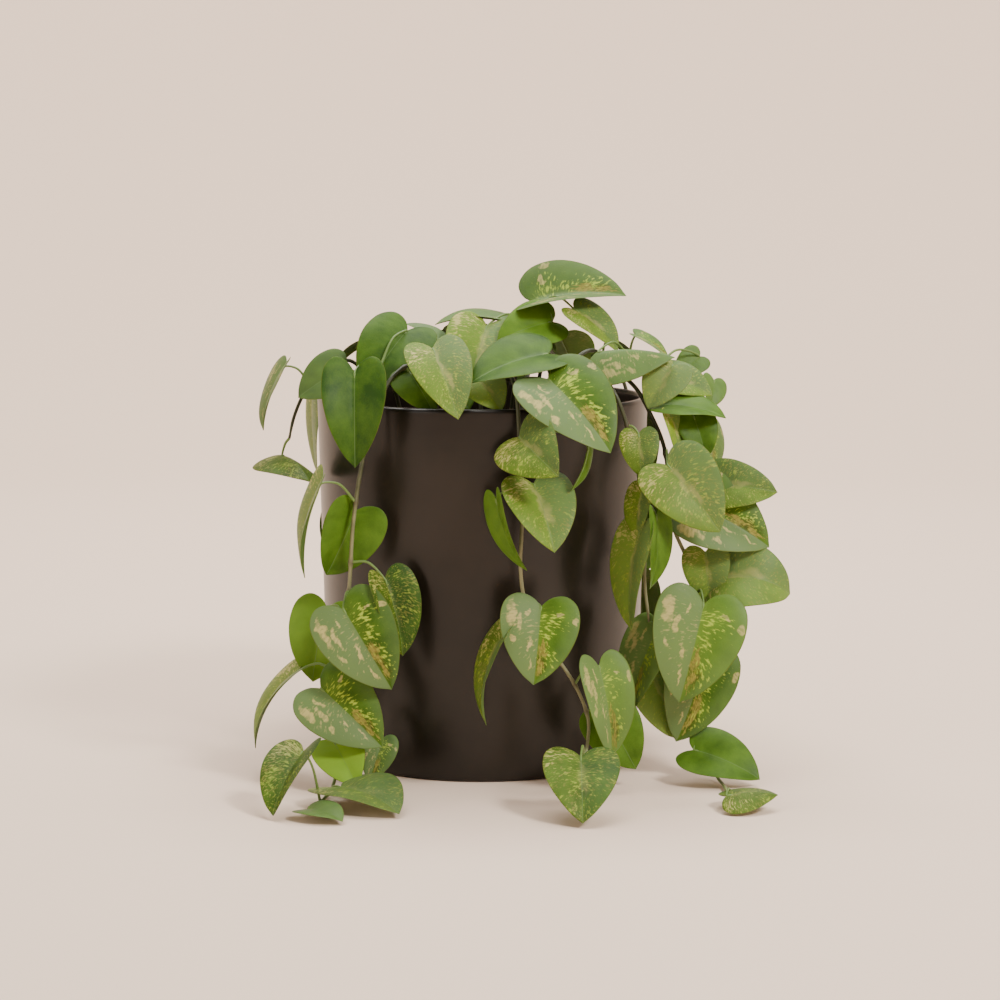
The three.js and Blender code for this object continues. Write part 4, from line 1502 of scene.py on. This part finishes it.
def aimed(place: Point, target: Point) -> tuple[float, float, float]:
    """How to turn a light towards something.

    Args:
        place: Where the light stands.
        target: What it looks at.

    Returns:
        The Euler angles that point its -Z at the target, with +Y upwards.
    """
    ahead = np.array(target) - np.array(place)
    tilt = float(np.arctan2(np.hypot(ahead[0], ahead[1]), -ahead[2]))
    return tilt, 0.0, float(np.arctan2(-ahead[0], ahead[1]))


@dataclass
class Lamp:
    """A soft rectangular light: where it stands, what it looks at, its width and height, its power and
    its colour."""

    name: str
    place: Point
    target: Point
    size: tuple[float, float]
    power: float
    colour: Colour = (1.0, 0.97, 0.93)

    def build(self) -> None:
        """Puts the light in the scene."""
        light = bpy.data.lights.new(self.name, "AREA")
        light.shape = "RECTANGLE"
        light.size, light.size_y = self.size
        light.energy = self.power
        light.color = self.colour
        made = linked(self.name, light)
        made.location = self.place
        made.rotation_euler = aimed(self.place, self.target)


@dataclass
class Studio:
    """A pale floor that curves up like a dish, soft lights, and the camera."""

    camera_place: Point = (0.0148, -2.0, 0.477)
    camera_pitch: float = 7.5
    lens: float = 85.0
    sensor: float = 36.0
    flat_radius: float = 2.0
    sweep: float = 2.0
    sides: int = 128
    world_colour: Colour = (0.90, 0.88, 0.86)
    world_strength: float = 0.35
    lamps: tuple[Lamp, ...] = (
        Lamp("key", (1.6, -1.7, 2.1), (0.0, 0.0, 0.18), (0.6, 0.6), 80.0),
        Lamp("fill", (-1.9, -1.4, 1.0), (0.0, 0.0, 0.2), (1.4, 1.4), 10.0),
        Lamp("over", (-0.1, 0.4, 2.6), (0.0, 0.0, 0.0), (2.2, 2.2), 85.0),
        Lamp("wash", (0.0, 1.4, 3.0), (0.0, 3.4, 0.7), (3.6, 0.8), 120.0),
    )

    def floor(self) -> None:
        """The floor, as one sheet turned about the middle: flat, then a quarter round."""
        line = np.vstack([[(0.001, 0.0)], arc((self.flat_radius, self.sweep), self.sweep, -90, 0, 32)])
        numbers = ring_numbers(len(line), self.sides)
        numbers[0] = 0
        sheet = Shell(rings_round(line, self.sides).reshape(-1, 3), grid_triangles(numbers))
        made = sheet.smooth_object("studio_floor", StageFinish().material())

    def camera(self) -> None:
        """The camera, at the height and tilt that the pot's rim and foot show."""
        data = bpy.data.cameras.new("camera")
        data.lens = self.lens
        data.sensor_width = self.sensor
        made = linked("camera", data)
        made.location = self.camera_place
        made.rotation_euler = (radians(90 - self.camera_pitch), 0.0, 0.0)
        bpy.context.scene.camera = made

    def world(self) -> None:
        """Even soft light from all round."""
        world = bpy.data.worlds.new("soft_light")
        world.use_nodes = True
        background = world.node_tree.nodes["Background"]
        background.inputs["Color"].default_value = (*self.world_colour, 1.0)
        background.inputs["Strength"].default_value = self.world_strength
        bpy.context.scene.world = world

    def build(self) -> None:
        """Sets the whole studio up."""
        self.camera()
        self.world()
        self.floor()
        for lamp in self.lamps:
            lamp.build()


def main() -> None:
    """Builds the studio, the pot, the soil and each leafy stem."""
    logging.basicConfig(level=logging.INFO, format="%(name)s: %(message)s")
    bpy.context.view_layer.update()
    Studio().build()
    Pot().build()
    Soil().build()
    leaf_skin, stem_skin = LeafFinish().material(), StemFinish().material()
    seed = 1
    for vine in VINES:
        VineBuilder(vine, seed).build(leaf_skin, stem_skin)
        seed += len(vine.leaves)


if __name__ == "__main__":
    main()
